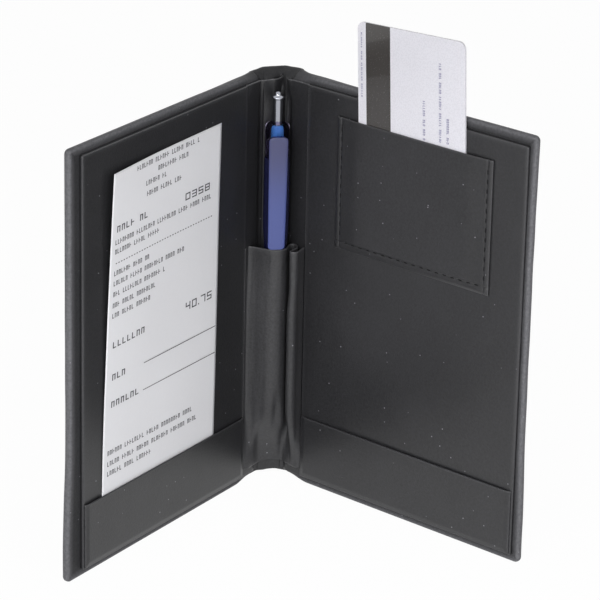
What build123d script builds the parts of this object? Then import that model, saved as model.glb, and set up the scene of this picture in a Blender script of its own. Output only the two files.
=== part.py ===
"""Guest check presenter: a leatherette folder that stands open in a V, with a pen sleeve in its spine.

Two wrapped boards hinge on strips of leatherette beside a narrow stiffened spine. Each board has a
stiff liner with a pocket along its foot, the right one also a stitched card pocket. A click pen, a
payment card and a paper check sit in the sleeve and the pockets and pull out of them.

Millimetres. X runs to the right as the open folder is read, Y away from the reader and Z up.
The origin is on the table, under the middle of the folder's bounding box as it stands.
"""

import os
from math import cos, radians, sin

from build123d import *

os.makedirs("parts", exist_ok=True)

# ---- Driving dimensions -------------------------------------------------------------------------
# The folder as it stands
opening_angle = 81.6  # between the two inner faces
cover_height = 176.0
cover_reach = 115.0  # from the inner fold line out to the fore-edge
cover_tail = 9.2  # the board goes on behind the fold line, up to its hinge
fold_half = 12.0  # from the middle plane to each inner fold line
hinge_back = 10.0  # hinge axis, behind the fold line along the inner face

# Sheet stock
skin = 0.7  # leatherette
greyboard = 1.9
liner_thickness = 1.3  # stiff liner: card wrapped in leatherette
soft_sheet = 0.6  # unbacked leatherette of liner folds, sleeve and pockets
turn_in = 12.0  # leatherette turned over the board's edges
board_corner = 2.2  # corners of the covers
outer_edge = 1.7  # rounding of the covers' outer rim
inner_edge = 1.1  # rounding of the covers' inner rim
strip_inset = 0.4  # the hinge strips stop short of the covers' top and foot

# Liners and their pockets
liner_reach = 111.4
liner_height = 170.0
foot_pocket_height = 27.5
foot_pocket_room = 0.5
foot_pocket_seam = 2.0
foot_pocket_margin = 0.6  # the pocket stops short of the liner's edges
foot_pocket_weld = 1.5  # seam along its foot
card_pocket_start = 16.4  # from the fold line
card_pocket_width = 79.0
card_pocket_height = 55.1
card_pocket_top = 163.8
card_pocket_room = 1.2
card_pocket_seam = 3.2
card_pocket_weld = 3.5  # seam along its foot
card_pocket_flange = 0.4  # folded edge outside the right-hand seam
stitch_inset = 2.7  # left-hand row
stitch_inset_right = 2.3
stitch_inset_foot = 3.2
stitch_pitch = 3.95
stitch_length = 2.4
stitch_width = 0.5
stitch_proud = 0.25

# Spine
spine_half = 4.8  # half the width of the stiffener
spine_back = 16.6  # outer face of the spine, behind the fold lines
spine_board_thickness = 1.3
spine_liner_back = 9.3  # middle of the spine's inner sheet, behind the fold lines
spine_liner_dip = 13.65  # where the sheet dips back onto the spine's turned-in leatherette

# Pen and its sleeve
pen_x = 0.4
pen_behind_fold = 2.8
pen_radius = 4.5  # inside the sleeve
pen_shoulder_radius = 5.2  # above it
pen_foot = 27.1
sleeve_gap = 0.3
sleeve_top = 104.1
sleeve_straight_foot = 34.0  # low enough to leave room for the pen's tip when it is clicked out
sleeve_foot = 6.5
sleeve_flat_back = 8.2  # middle of the sleeve's sheet at its foot, behind the fold lines
pen_wall = 1.1
nose_top = 45.0
cap_foot = 142.3
cap_radius = 4.9
cap_wall = 0.8
cap_top = 156.2
collar_radius = 2.6
collar_foot = 150.4
collar_top = 155.4
plunger_radius = 2.0
plunger_clearance = 0.08
plunger_foot = 141.0
plunger_rim = 166.6
refill_top = 139.4
clip_top = 152.3
clip_corner = 1.8
clip_foot = 104.9
clip_front = 4.3  # in front of the fold lines
clip_thickness = 1.3
clip_root_width = 5.2
clip_root_height = 1.6
spring_wire = 0.2
spring_radius = 1.75
spring_turns = 12
spring_foot = 36.4
spring_height = 22.0

# Payment card (ID-1) and paper check (3 inch roll)
card_width = 54.0
card_length = 85.6
card_thickness = 0.76
card_corner = 3.18
card_middle = 52.7  # from the fold line, at its top edge
card_top = 206.2
card_lean = 2.7
stripe_inset = 4.15
stripe_width = 12.4
stripe_depth = 0.05
check_width = 76.2
check_thickness = 0.14
check_foot = 4.8
check_top = 162.5
check_foot_start = 22.4  # hinge side edge at its foot, from the fold line
check_lean = 1.3
check_curl = 3.6  # how far its outer top corner lifts

# ---- Worked-out places ----------------------------------------------------------------------------
cover_angle = (180 - opening_angle) / 2
run = cos(radians(cover_angle))  # along X for each millimetre along a cover
rise = sin(radians(cover_angle))
cover_thickness = liner_thickness + 2 * skin + greyboard
liner_foot = (cover_height - liner_height) / 2
liner_top = liner_foot + liner_height
front_reach = cover_reach * rise - liner_thickness * run  # fore-edge, in front of the fold lines
fold_y = (front_reach - spine_back) / 2
pen_y = fold_y + pen_behind_fold
bore = pen_radius - pen_wall


def cover_plane(side):
    """Inner face of a cover: local X to the right along it, Y up, Z towards the reader.

    side is -1 for the left cover and 1 for the right one. Its origin is at the foot of the fold line."""
    return Plane(
        origin=(side * fold_half, fold_y, 0),
        x_dir=(run, -side * rise, 0),
        z_dir=(-side * rise, -run, 0),
    )


def on_cover(side, along, proud):
    """X and Y of a point of a cover: along it from the fold line, and proud of its inner face."""
    x = side * (fold_half + along * run - proud * rise)
    y = fold_y - along * rise - proud * run
    return x, y


def cover_rectangle(side, start, end, foot, top):
    """A rectangle on a cover's face, from start to end along it and from foot to top."""
    with Locations((side * (start + end) / 2, (foot + top) / 2)):
        Rectangle(end - start, top - foot)


def behind(x, distance):
    """X and Y of a point behind the fold lines."""
    return x, fold_y + distance


def save(part, name):
    part.label = name
    export_step(part, f"parts/{name}.step")


# ---- Covers -----------------------------------------------------------------------------------------
for side, hand in ((-1, "left"), (1, "right")):
    face = cover_plane(side)
    outward = Axis(face.origin, face.z_dir)
    along_cover = Axis(face.origin, side * face.x_dir)
    flap_face = face.offset(-liner_thickness)
    board_back = face.offset(-liner_thickness - skin - greyboard)

    # Leatherette wrapped over the board: rounded on the three free edges, turned in behind them.
    with BuildPart() as cover_skin:
        with BuildSketch(face.offset(-cover_thickness)):
            cover_rectangle(side, -cover_tail, cover_reach, 0, cover_height)
        extrude(amount=cover_thickness - liner_thickness)
        corners = cover_skin.edges().filter_by(outward).group_by(along_cover)[-1]
        fillet(corners, radius=board_corner)
        outer_rim = cover_skin.faces().sort_by(outward)[0].edges().sort_by(along_cover)[1:]
        fillet(outer_rim, radius=outer_edge)
        inner_rim = cover_skin.faces().sort_by(outward)[-1].edges().sort_by(along_cover)[1:]
        fillet(inner_rim, radius=inner_edge)
        with BuildSketch(board_back):
            cover_rectangle(side, -cover_tail, cover_reach - skin, skin, cover_height - skin)
        extrude(amount=greyboard, mode=Mode.SUBTRACT)
        with BuildSketch(flap_face):
            cover_rectangle(side, -cover_tail, cover_reach - turn_in, turn_in, cover_height - turn_in)
        extrude(amount=-skin, mode=Mode.SUBTRACT)
    save(cover_skin.part, f"{hand}_cover_skin")

    with BuildPart() as board:
        with BuildSketch(board_back):
            cover_rectangle(side, -cover_tail, cover_reach - skin, skin, cover_height - skin)
        extrude(amount=greyboard)
    save(board.part, f"{hand}_board")

    # Card that fills the window between the turn-ins, so that the liner lies flat.
    with BuildPart() as filler_card:
        with BuildSketch(flap_face):
            cover_rectangle(side, -cover_tail, cover_reach - turn_in, turn_in, cover_height - turn_in)
        extrude(amount=-skin)
    save(filler_card.part, f"{hand}_filler_card")

    with BuildPart() as liner:
        with BuildSketch(flap_face):
            cover_rectangle(side, 0, liner_reach, liner_foot, liner_top)
        extrude(amount=liner_thickness)
        fillet(liner.faces().sort_by(outward)[-1].edges(), radius=0.5)
    save(liner.part, f"{hand}_liner")

    # Pocket along the foot, welded at its two ends and its foot and open at the top.
    foot_pocket_top = liner_foot + foot_pocket_height
    with BuildPart() as foot_pocket:
        with BuildSketch(face):
            cover_rectangle(
                side,
                foot_pocket_margin,
                liner_reach - foot_pocket_margin,
                liner_foot + foot_pocket_margin,
                foot_pocket_top,
            )
        extrude(amount=foot_pocket_room + soft_sheet)
        fillet(foot_pocket.faces().sort_by(outward)[-1].edges(), radius=0.4)
        with BuildSketch(face):
            cover_rectangle(
                side,
                foot_pocket_seam,
                liner_reach - foot_pocket_seam,
                liner_foot + foot_pocket_weld,
                foot_pocket_top,
            )
        extrude(amount=foot_pocket_room, mode=Mode.SUBTRACT)
    save(foot_pocket.part, f"{hand}_foot_pocket")

    # Strip of leatherette from the board's end round to the spine: the cover's hinge.
    skin_middle = -cover_thickness + skin / 2
    spine_skin_middle = spine_back - skin / 2
    with BuildPart() as hinge_strip:
        with BuildSketch(Plane.XY.offset(strip_inset)):
            with BuildLine():
                Spline(
                    on_cover(side, -cover_tail, skin_middle),
                    behind(side * spine_half, spine_skin_middle),
                    tangents=[(-side * run, rise), (-side, 0)],
                )
            trace(line_width=skin)
        extrude(amount=cover_height - 2 * strip_inset)
    save(hinge_strip.part, f"{hand}_hinge_strip")

    # The liner's own sheet goes on from the fold line, along the board, to the back of the spine.
    fold_middle = -liner_thickness + soft_sheet / 2
    with BuildPart() as liner_fold:
        with BuildSketch(Plane.XY.offset(liner_foot)):
            with BuildLine():
                Line(on_cover(side, 0, fold_middle), on_cover(side, -cover_tail, fold_middle))
                Spline(
                    on_cover(side, -cover_tail, fold_middle),
                    behind(side * (spine_half - 0.2), spine_liner_back),
                    tangents=[(-side * run, rise), (-side, 0)],
                )
            trace(line_width=soft_sheet)
        extrude(amount=liner_height)
    save(liner_fold.part, f"{hand}_liner_fold")

# ---- Spine --------------------------------------------------------------------------------------------
spine_skin_front = spine_back - 2 * skin - spine_board_thickness + 0.1
spine_plane = Plane(origin=(0, fold_y, 0), x_dir=(1, 0, 0), z_dir=(0, 1, 0))  # local Y runs down


def spine_slab(front, back, foot, top, mode=Mode.ADD):
    """A slab as wide as the stiffener, between two distances behind the fold lines."""
    with BuildSketch(spine_plane.offset(front)) as slab:
        with Locations((0, -(foot + top) / 2)):
            Rectangle(2 * spine_half, top - foot)
    extrude(slab.sketch, amount=back - front, mode=mode)


board_front = spine_back - skin - spine_board_thickness
with BuildPart() as spine_skin:
    spine_slab(spine_skin_front, spine_back, 0, cover_height)
    fillet(spine_skin.edges().filter_by(Axis.X), radius=1.0)
    spine_slab(board_front, spine_back - skin, skin, cover_height - skin, Mode.SUBTRACT)
    spine_slab(spine_skin_front, board_front, turn_in, cover_height - turn_in, Mode.SUBTRACT)
save(spine_skin.part, "spine_skin")

with BuildPart() as spine_board:
    spine_slab(board_front, spine_back - skin, skin, cover_height - skin)
save(spine_board.part, "spine_board")

# Inner sheet of the spine, dipping back in one soft wave beside the pen.
with BuildPart() as spine_liner:
    with BuildSketch(Plane.XY.offset(liner_foot)):
        with BuildLine():
            FilletPolyline(
                behind(-spine_half + 0.2, spine_liner_back),
                behind(0.3, spine_liner_back),
                behind(2.5, spine_liner_dip),
                behind(4.0, spine_liner_back),
                behind(spine_half - 0.2, spine_liner_back),
                radius=(0.8, 0.5, 0.35),
            )
        trace(line_width=soft_sheet)
    extrude(amount=liner_height)
save(spine_liner.part, "spine_liner")

# ---- Pen sleeve: a sheet round the front of the pen, with a plain wing on the left and a pleat ----------
sleeve_radius = pen_radius + sleeve_gap + soft_sheet / 2
sleeve_start_angle = 205  # round the pen, from the +X direction
sleeve_end_angle = 325
sleeve_ends = [
    (pen_x + sleeve_radius * cos(radians(angle)), pen_y + sleeve_radius * sin(radians(angle)))
    for angle in (sleeve_start_angle, sleeve_end_angle)
]
flat_ends = [behind(-4.3, sleeve_flat_back), behind(5.3, sleeve_flat_back)]


def sheet_between(path_at_foot, path_at_top, mode=Mode.ADD):
    """A sheet that stands straight from the sleeve's mouth down to its taper, then flattens back."""
    with BuildSketch(Plane.XY.offset(sleeve_straight_foot)) as straight:
        with BuildLine():
            path_at_top()
        trace(line_width=soft_sheet)
    extrude(straight.sketch, amount=sleeve_top - sleeve_straight_foot, mode=mode)
    with BuildSketch(Plane.XY.offset(sleeve_foot)) as flattened:
        with BuildLine():
            path_at_foot()
        trace(line_width=soft_sheet)
    loft([straight.sketch.face(), flattened.sketch.face()], ruled=True, mode=mode)


with BuildPart() as pen_sleeve:
    sheet_between(
        lambda: ThreePointArc(flat_ends[0], behind(pen_x, sleeve_flat_back - 0.3), flat_ends[1]),
        lambda: ThreePointArc(sleeve_ends[0], (pen_x, pen_y - sleeve_radius), sleeve_ends[1]),
    )
save(pen_sleeve.part, "pen_sleeve")

upper_half = -soft_sheet / 2  # the sleeve's sheet leaves the fold line on top of the liner's
with BuildPart() as sleeve_wing:
    sheet_between(
        lambda: Spline(
            on_cover(-1, 0, upper_half),
            on_cover(-1, -8.0, upper_half),
            flat_ends[0],
            tangents=[(run, rise), (1, 0)],
        ),
        lambda: Spline(
            on_cover(-1, 0, upper_half),
            on_cover(-1, -4.2, upper_half + 0.2),
            behind(-7.3, 3.9),
            behind(-5.2, 2.1),
            sleeve_ends[0],
            tangents=[(run, rise), (0.42, -0.91)],
        ),
    )
save(sleeve_wing.part, "sleeve_left_wing")

with BuildPart() as sleeve_pleat:
    sheet_between(
        lambda: Spline(
            flat_ends[1],
            behind(6.4, 6.8),
            behind(8.2, 4.1),
            behind(9.8, 0.9),
            behind(11.45, -0.75),
            tangents=[(1, -0.3), (0.9, -0.45)],
        ),
        lambda: Spline(
            sleeve_ends[1],
            behind(6.5, 2.3),
            behind(8.6, 3.6),
            behind(9.8, 2.6),
            behind(8.3, 0.0),
            behind(7.0, -2.9),
            behind(8.0, -4.7),
            behind(10.0, -2.9),
            behind(11.45, -0.75),
            tangents=[(0.57, 0.82), (0.4, 0.9)],
        ),
    )
save(sleeve_pleat.part, "sleeve_right_pleat")

# ---- Card pocket and its stitching -----------------------------------------------------------------------
right_face = cover_plane(1)
pocket_end = card_pocket_start + card_pocket_width
pocket_foot = card_pocket_top - card_pocket_height
pocket_front = card_pocket_room + soft_sheet
with BuildPart() as card_pocket:
    with BuildSketch(right_face):
        cover_rectangle(1, card_pocket_start, pocket_end, pocket_foot, card_pocket_top)
    extrude(amount=pocket_front)
    right_outward = Axis(right_face.origin, right_face.z_dir)
    fillet(card_pocket.faces().sort_by(right_outward)[-1].edges(), radius=0.5)
    with BuildSketch(right_face):
        cover_rectangle(
            1,
            card_pocket_start + card_pocket_seam,
            pocket_end - card_pocket_seam - card_pocket_flange,
            pocket_foot + card_pocket_weld,
            card_pocket_top,
        )
    extrude(amount=card_pocket_room, mode=Mode.SUBTRACT)
save(card_pocket.part, "card_pocket")

stitch_left = card_pocket_start + stitch_inset
stitch_right = pocket_end - stitch_inset_right
stitch_foot = pocket_foot + stitch_inset_foot
side_stitches = int((card_pocket_top - stitch_foot - 1.5) / stitch_pitch)
foot_stitches = int((stitch_right - stitch_left - 1.0) / stitch_pitch)
side_middles = [stitch_foot + 1.5 + (i + 0.5) * stitch_pitch for i in range(side_stitches)]
foot_middles = [stitch_left + 1.5 + (i + 0.5) * stitch_pitch for i in range(foot_stitches)]
with BuildPart() as stitching:
    with BuildSketch(right_face.offset(pocket_front)):
        with Locations([(x, z) for x in (stitch_left, stitch_right) for z in side_middles]):
            SlotOverall(stitch_length, stitch_width, rotation=90)
        with Locations([(x, stitch_foot) for x in foot_middles]):
            SlotOverall(stitch_length, stitch_width)
    extrude(amount=stitch_proud)
save(stitching.part, "card_pocket_stitching")

# ---- Pen -----------------------------------------------------------------------------------------------
def pen_turning(*outline):
    """A turned piece of the pen from (radius, height) corners, spun about the pen's axis."""
    with BuildSketch(Plane(origin=(pen_x, pen_y, 0), x_dir=(1, 0, 0), z_dir=(0, -1, 0))) as profile:
        with BuildLine():
            Polyline(*outline, close=True)
        make_face()
    revolve(profile.sketch, axis=Axis((pen_x, pen_y, 0), (0, 0, 1)))


with BuildPart() as pen_nose:
    pen_turning(
        (0.75, pen_foot),
        (1.25, pen_foot),
        (2.0, pen_foot + 3.0),
        (3.75, pen_foot + 13.5),
        (3.95, nose_top),
        (2.6, nose_top),
        (2.6, pen_foot + 9.0),
        (0.75, pen_foot + 6.0),
    )
save(pen_nose.part, "pen_nose")

with BuildPart() as pen_barrel:
    pen_turning(
        (bore, nose_top),
        (4.1, nose_top),
        (pen_radius, nose_top + 14.0),
        (pen_radius, sleeve_top - 0.6),
        (pen_shoulder_radius, sleeve_top + 8.9),
        (pen_shoulder_radius, cap_foot - 4.0),
        (cap_radius + 0.1, cap_foot),
        (2.9, cap_foot),
        (2.9, cap_foot - 4.0),
        (bore, cap_foot - 6.0),
    )
save(pen_barrel.part, "pen_barrel")

# Clear shell of the cap, with a thick head that holds the collar.
with BuildPart() as pen_cap:
    pen_turning(
        (cap_radius - cap_wall, cap_foot),
        (cap_radius, cap_foot),
        (cap_radius, cap_top - 1.0),
        (cap_radius - 1.0, cap_top),
        (collar_radius + 0.02, cap_top),
        (collar_radius + 0.02, collar_foot - 0.2),
        (cap_radius - cap_wall, collar_foot - 1.4),
    )
save(pen_cap.part, "pen_cap")

with BuildPart() as pen_collar:
    pen_turning(
        (plunger_radius + plunger_clearance, collar_foot),
        (collar_radius, collar_foot),
        (collar_radius, collar_top),
        (plunger_radius + plunger_clearance, collar_top),
    )
save(pen_collar.part, "pen_collar")

# Clip: a flat tongue in front of the barrel, arched at its head and rooted in the cap.
clip_face = Plane(origin=(pen_x, fold_y - clip_front, 0), x_dir=(1, 0, 0), z_dir=(0, -1, 0))
clip_back = Plane(origin=(pen_x, fold_y - clip_front + clip_thickness, 0), x_dir=(1, 0, 0), z_dir=(0, 1, 0))
with BuildPart() as pen_clip:
    with BuildSketch(clip_face) as tongue:
        with BuildLine():
            Polyline(
                (-4.05, clip_top),
                (-3.95, clip_foot + 2.0),
                (-3.1, clip_foot),
                (2.0, clip_foot),
                (2.8, clip_foot + 2.0),
                (3.7, clip_top),
                close=True,
            )
        make_face()
        fillet(tongue.vertices().group_by(Axis.Y)[-1], radius=clip_corner)
    extrude(amount=-clip_thickness)
    with BuildSketch(clip_back):
        with Locations((0, -(clip_top - 0.2 - clip_root_height / 2))):
            Rectangle(clip_root_width, clip_root_height)
    extrude(amount=clip_front - clip_thickness + pen_behind_fold - cap_radius + 1.1)
    with BuildSketch(Plane.XY.offset(cap_foot - 1)):
        with Locations((pen_x, pen_y)):
            Circle(cap_radius)
    extrude(amount=clip_top - cap_foot + 2, mode=Mode.SUBTRACT)
save(pen_clip.part, "pen_clip")

with BuildPart() as pen_plunger:
    pen_turning(
        (0, plunger_foot),
        (plunger_radius, plunger_foot),
        (plunger_radius, plunger_rim),
        (2.6, plunger_rim + 0.2),
        (2.6, plunger_rim + 0.8),
        (2.0, plunger_rim + 1.4),
        (1.5, plunger_rim + 2.2),
        (0.8, plunger_rim + 2.75),
        (0, plunger_rim + 2.9),
    )
save(pen_plunger.part, "pen_plunger")

with BuildPart() as pen_cam:
    pen_turning((0, refill_top + 0.3), (2.4, refill_top + 0.3), (1.6, plunger_foot), (0, plunger_foot))
save(pen_cam.part, "pen_cam")

with BuildPart() as pen_refill:
    pen_turning(
        (0, pen_foot + 0.6),
        (0.35, pen_foot + 0.6),
        (0.6, pen_foot + 2.0),
        (0.6, pen_foot + 10.0),
        (1.2, pen_foot + 11.0),
        (1.2, pen_foot + 34.0),
        (1.6, pen_foot + 34.5),
        (1.6, refill_top),
        (0, refill_top),
    )
save(pen_refill.part, "pen_refill")

# Return spring: it pushes the refill back from the shoulder inside the nose.
with BuildPart() as pen_spring:
    with BuildLine(Plane(origin=(pen_x, pen_y, spring_foot))) as spring_path:
        Helix(pitch=spring_height / spring_turns, height=spring_height, radius=spring_radius)
    with BuildSketch(Plane(origin=spring_path.line @ 0, z_dir=spring_path.line % 0)):
        Circle(spring_wire)
    sweep(path=spring_path.line, is_frenet=True)
save(pen_spring.part, "pen_spring")

# ---- Payment card --------------------------------------------------------------------------------------
card_back = 0.2  # air between the liner and the card
card_plane = right_face.offset(card_back)
card_place = Location((card_middle, card_top, 0), (0, 0, card_lean))
stripe_place = Pos(stripe_inset + stripe_width / 2 - card_width / 2, -card_length / 2)
with BuildPart() as payment_card:
    with BuildSketch(card_plane):
        with Locations(card_place * Pos(0, -card_length / 2)):
            RectangleRounded(card_width, card_length, card_corner)
    extrude(amount=card_thickness)
    with BuildSketch(card_plane.offset(card_thickness)):
        with Locations(card_place * stripe_place):
            Rectangle(stripe_width, card_length)
    extrude(amount=-stripe_depth, mode=Mode.SUBTRACT)
save(payment_card.part, "payment_card")

with BuildPart() as card_stripe:
    with BuildSketch(card_plane.offset(card_thickness)):
        with Locations(card_place * stripe_place):
            Rectangle(stripe_width, card_length)
    extrude(amount=-stripe_depth)
save(card_stripe.part, "card_stripe")

# ---- Paper check: flat in the foot pocket, lifting off the liner towards its outer top corner ----------
def check_section(height):
    """Thin level section of the paper at a height, bowed off the liner on its outer side."""
    share = (height - check_foot) / (check_top - check_foot)
    start = check_foot_start - (height - check_foot) * sin(radians(check_lean))
    lift = check_curl * max(0.0, share - 0.2) ** 1.5
    lie = 0.25
    with BuildSketch(Plane.XY.offset(height)) as section:
        with BuildLine():
            Spline(
                on_cover(-1, start, lie),
                on_cover(-1, start + 0.5 * check_width, lie + 0.2 * lift),
                on_cover(-1, start + check_width, lie + lift),
            )
        trace(line_width=check_thickness)
    return section.sketch.face()


with BuildPart() as paper_check:
    levels = [check_foot + share * (check_top - check_foot) for share in (0, 0.25, 0.5, 0.75, 1)]
    loft([check_section(level) for level in levels])
save(paper_check.part, "paper_check")
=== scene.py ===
# %% [markdown]
# # A guest check presenter, dressed in Blender
# A black leatherette folder stands open in a V. A click pen stands in a sleeve on its spine, a payment
# card in a stitched pocket and a paper check in the pocket along its foot. The solids come from CAD as a
# fixed frame, and this lesson gives them soft leatherette, thread, plastic, chrome and paper.
# Lengths below are in millimetres and become metres only where a mesh is made.

import bmesh
import bpy
import numpy as np
from mathutils import Matrix, Vector


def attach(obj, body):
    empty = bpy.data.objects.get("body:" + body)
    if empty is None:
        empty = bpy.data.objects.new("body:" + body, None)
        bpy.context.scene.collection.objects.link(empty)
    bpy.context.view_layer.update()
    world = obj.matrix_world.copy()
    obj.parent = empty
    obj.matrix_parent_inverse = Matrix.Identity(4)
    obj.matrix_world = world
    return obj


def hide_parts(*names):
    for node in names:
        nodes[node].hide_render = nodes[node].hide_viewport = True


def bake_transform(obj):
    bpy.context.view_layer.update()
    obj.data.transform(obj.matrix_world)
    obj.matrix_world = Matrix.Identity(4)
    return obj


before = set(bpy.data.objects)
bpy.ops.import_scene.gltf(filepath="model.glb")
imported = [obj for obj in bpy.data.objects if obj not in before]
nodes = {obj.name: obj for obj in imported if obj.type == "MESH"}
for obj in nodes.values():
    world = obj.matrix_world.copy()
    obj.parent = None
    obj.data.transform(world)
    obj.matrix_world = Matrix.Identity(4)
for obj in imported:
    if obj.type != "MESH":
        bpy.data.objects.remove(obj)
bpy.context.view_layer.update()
MM = 0.001

# %% [markdown]
# Both covers are flat boards, so almost every piece is easier to describe on a board than in the room.
# `on_cover` takes a distance along the board from its fold line, a height, and how far a point stands
# proud of the board's inner face, and gives the place in the room. The angle is the frame's own.

# %% Where things are on a cover
fold_y = 34.802
fold_half = 12.0
cover_angle = np.radians(49.2)
run, rise = np.cos(cover_angle), np.sin(cover_angle)
cover_height, cover_reach, cover_tail = 176.0, 115.0, 9.2
liner_foot, liner_top, liner_reach = 3.0, 173.0, 111.4
cover_back, liner_back = -4.6, -1.3
cover_sheet, liner_sheet = 0.66, 0.55
sides = ((-1, "left"), (1, "right"))


def on_cover(side, along, height, proud):
    """x = side * (half the spine + along * cos - proud * sin), y = fold line - along * sin - proud * cos."""
    along, height, proud = np.broadcast_arrays(
        np.asarray(along, float), np.asarray(height, float), np.asarray(proud, float)
    )
    x = side * (fold_half + along * run - proud * rise)
    y = fold_y - along * rise - proud * run
    return np.stack([x, y, height], -1)


def cover_front(side):
    """The direction that a cover's inner face looks in."""
    return np.array([-side * rise, -run, 0.0])


def ripple(a, b, size, seed):
    """Soft unevenness from -1 to 1: a sum of sine waves of about one size (mm), in seeded directions."""
    rng = np.random.default_rng(seed)
    a, b = np.broadcast_arrays(np.asarray(a, float), np.asarray(b, float))
    total = np.zeros(a.shape)
    for _ in range(5):
        turn, phase = rng.uniform(0, 2 * np.pi), rng.uniform(0, 2 * np.pi)
        stretch = rng.uniform(0.7, 1.5)
        total += np.sin((a * np.cos(turn) + b * np.sin(turn)) * 2 * np.pi / (size * stretch) + phase)
    return total / 5


def ease(x):
    """Smooth step from 0 to 1: 3x^2 - 2x^3."""
    x = np.clip(x, 0, 1)
    return x * x * (3 - 2 * x)


def nearest(*distances):
    """The smallest of several distances, point by point."""
    return np.minimum.reduce(np.broadcast_arrays(*distances))


def near(distance, width):
    """A soft line: 1 at distance 0, fading as exp(-(distance / width)^2)."""
    return np.exp(-((distance / width) ** 2))


print("cover angle", round(float(np.degrees(cover_angle)), 1), "degrees")

# %% [markdown]
# A surface is a grid of points. `skin_mesh` joins neighbours in the grid into four-sided faces, turns them
# so that they look the way the real surface faces, and hands the mesh over. A modifier could grow thick
# leatherette from a sheet by hand; Solidify does it from the sheet itself, and keeps its edges closed.

# %% From a grid of points to a piece
def grid_faces(rows, columns, wrap_rows=False, wrap_columns=False):
    """Corner indices of every cell of a grid, row by row; wrap joins the last line to the first."""
    i = np.arange(rows if wrap_rows else rows - 1)
    j = np.arange(columns if wrap_columns else columns - 1)
    i, j = np.meshgrid(i, j, indexing="ij")
    right, down = (j + 1) % columns, (i + 1) % rows
    cells = [i * columns + j, i * columns + right, down * columns + right, down * columns + j]
    return np.stack(cells, -1).reshape(-1, 4)


def capped_tube(rows, columns):
    """Faces of a tube of rings, with one many-sided face over each end."""
    ends = [list(range(columns - 1, -1, -1)), list(range((rows - 1) * columns, rows * columns))]
    return grid_faces(rows, columns, wrap_columns=True).tolist() + ends


def skin_mesh(name, points, faces, look=None, masks=None, merge=True):
    """An object from points (mm) and faces. look is a direction that most faces must turn to; None lets
    Blender turn a closed shape's faces outwards. masks are values for each point, such as edge wear with painted
    highlight."""
    mesh = bpy.data.meshes.new(name)
    flat = np.asarray(points, float).reshape(-1, 3) * MM
    mesh.from_pydata(flat.tolist(), [], faces.tolist() if isinstance(faces, np.ndarray) else faces)
    for label, values in (masks or {}).items():
        layer = mesh.attributes.new(label, "FLOAT", "POINT")
        layer.data.foreach_set("value", np.asarray(values, np.float32).ravel())
    work = bmesh.new()
    work.from_mesh(mesh)
    if merge:
        bmesh.ops.remove_doubles(work, verts=work.verts, dist=2e-6)
    if look is None:
        bmesh.ops.recalc_face_normals(work, faces=work.faces)
    else:
        work.normal_update()
        total = sum((f.normal * f.calc_area() for f in work.faces), Vector())
        if total.dot(Vector(look)) < 0:
            bmesh.ops.reverse_faces(work, faces=work.faces)
    work.to_mesh(mesh)
    work.free()
    mesh.polygons.foreach_set("use_smooth", np.ones(len(mesh.polygons), bool))
    piece = bpy.data.objects.new(name, mesh)
    bpy.context.scene.collection.objects.link(piece)
    return piece


def flat_box(name, corners):
    """A box with flat faces from its 8 corners, listed so that the last of the three axes changes fastest."""
    faces = [[0, 1, 3, 2], [4, 6, 7, 5], [0, 4, 5, 1], [2, 3, 7, 6], [0, 2, 6, 4], [1, 5, 7, 3]]
    box = skin_mesh(name, corners, faces)
    box.data.polygons.foreach_set("use_smooth", np.zeros(6, bool))
    return box


def thicken(piece, thickness, even=True):
    """Leatherette is a sheet: grow it by its thickness (mm) away from the side that is seen. Even thickness
    suits crisp pieces; on a soft piece round the spine it could throw out spikes, so it is off there."""
    grow = piece.modifiers.new("thickness", "SOLIDIFY")
    grow.thickness = thickness * MM
    grow.offset = -1.0
    grow.use_even_offset = even
    return piece


def dress(piece, material, slot=None, body=None, stands_for=()):
    """Gives a piece its finish, the body that it moves with and the solids that it stands for."""
    piece.data.materials.clear()
    piece.data.materials.append(material)
    if stands_for:
        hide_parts(*stands_for)
    if body:
        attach(piece, body)
    return piece


print("mesh helpers ready")

# %% [markdown]
# ## Finishes
# A finish is a node tree. Effects that several finishes share, such as the leatherette's grain and the
# paling of its edges, are node groups: built once, then placed in each material with their own values.

# %% Helpers for node trees
def rgb(red, green, blue):
    """A colour as read off a screen, 0 to 255, in Blender's linear values."""
    c = np.array([red, green, blue]) / 255
    return (*np.where(c <= 0.04045, c / 12.92, ((c + 0.055) / 1.055) ** 2.4), 1.0)


def node(tree, kind, **settings):
    """Adds a node; settings with a lower-case name are properties, the rest are input sockets."""
    made = tree.nodes.new("ShaderNode" + kind)
    for key, value in settings.items():
        if key[0].islower():
            setattr(made, key, value)
        else:
            made.inputs[key.replace("_", " ")].default_value = value
    return made


def math(tree, operation, first, second=None, clamp=False):
    """first and second are sockets or plain numbers."""
    made = node(tree, "Math", operation=operation, use_clamp=clamp)
    for index, value in enumerate((first, second)):
        if value is None:
            continue
        if isinstance(value, (int, float)):
            made.inputs[index].default_value = value
        else:
            tree.links.new(value, made.inputs[index])
    return made.outputs[0]


def remap(tree, value, low, high, to_low=0.0, to_high=1.0):
    """Carries low..high smoothly over to to_low..to_high."""
    made = node(tree, "MapRange", interpolation_type="SMOOTHSTEP")
    tree.links.new(value, made.inputs["Value"])
    ends = {"From Min": low, "From Max": high, "To Min": to_low, "To Max": to_high}
    for label, number in ends.items():
        made.inputs[label].default_value = number
    return made.outputs["Result"]


def new_group(name, inputs, outputs):
    """An empty node group with named sockets, each given as (name, kind, default)."""
    tree = bpy.data.node_groups.new(name, "ShaderNodeTree")
    for label, kind, default in inputs:
        socket = tree.interface.new_socket(label, in_out="INPUT", socket_type="NodeSocket" + kind)
        socket.default_value = default
    for label, kind in outputs:
        tree.interface.new_socket(label, in_out="OUTPUT", socket_type="NodeSocket" + kind)
    return tree, tree.nodes.new("NodeGroupInput").outputs, tree.nodes.new("NodeGroupOutput").inputs


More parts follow.
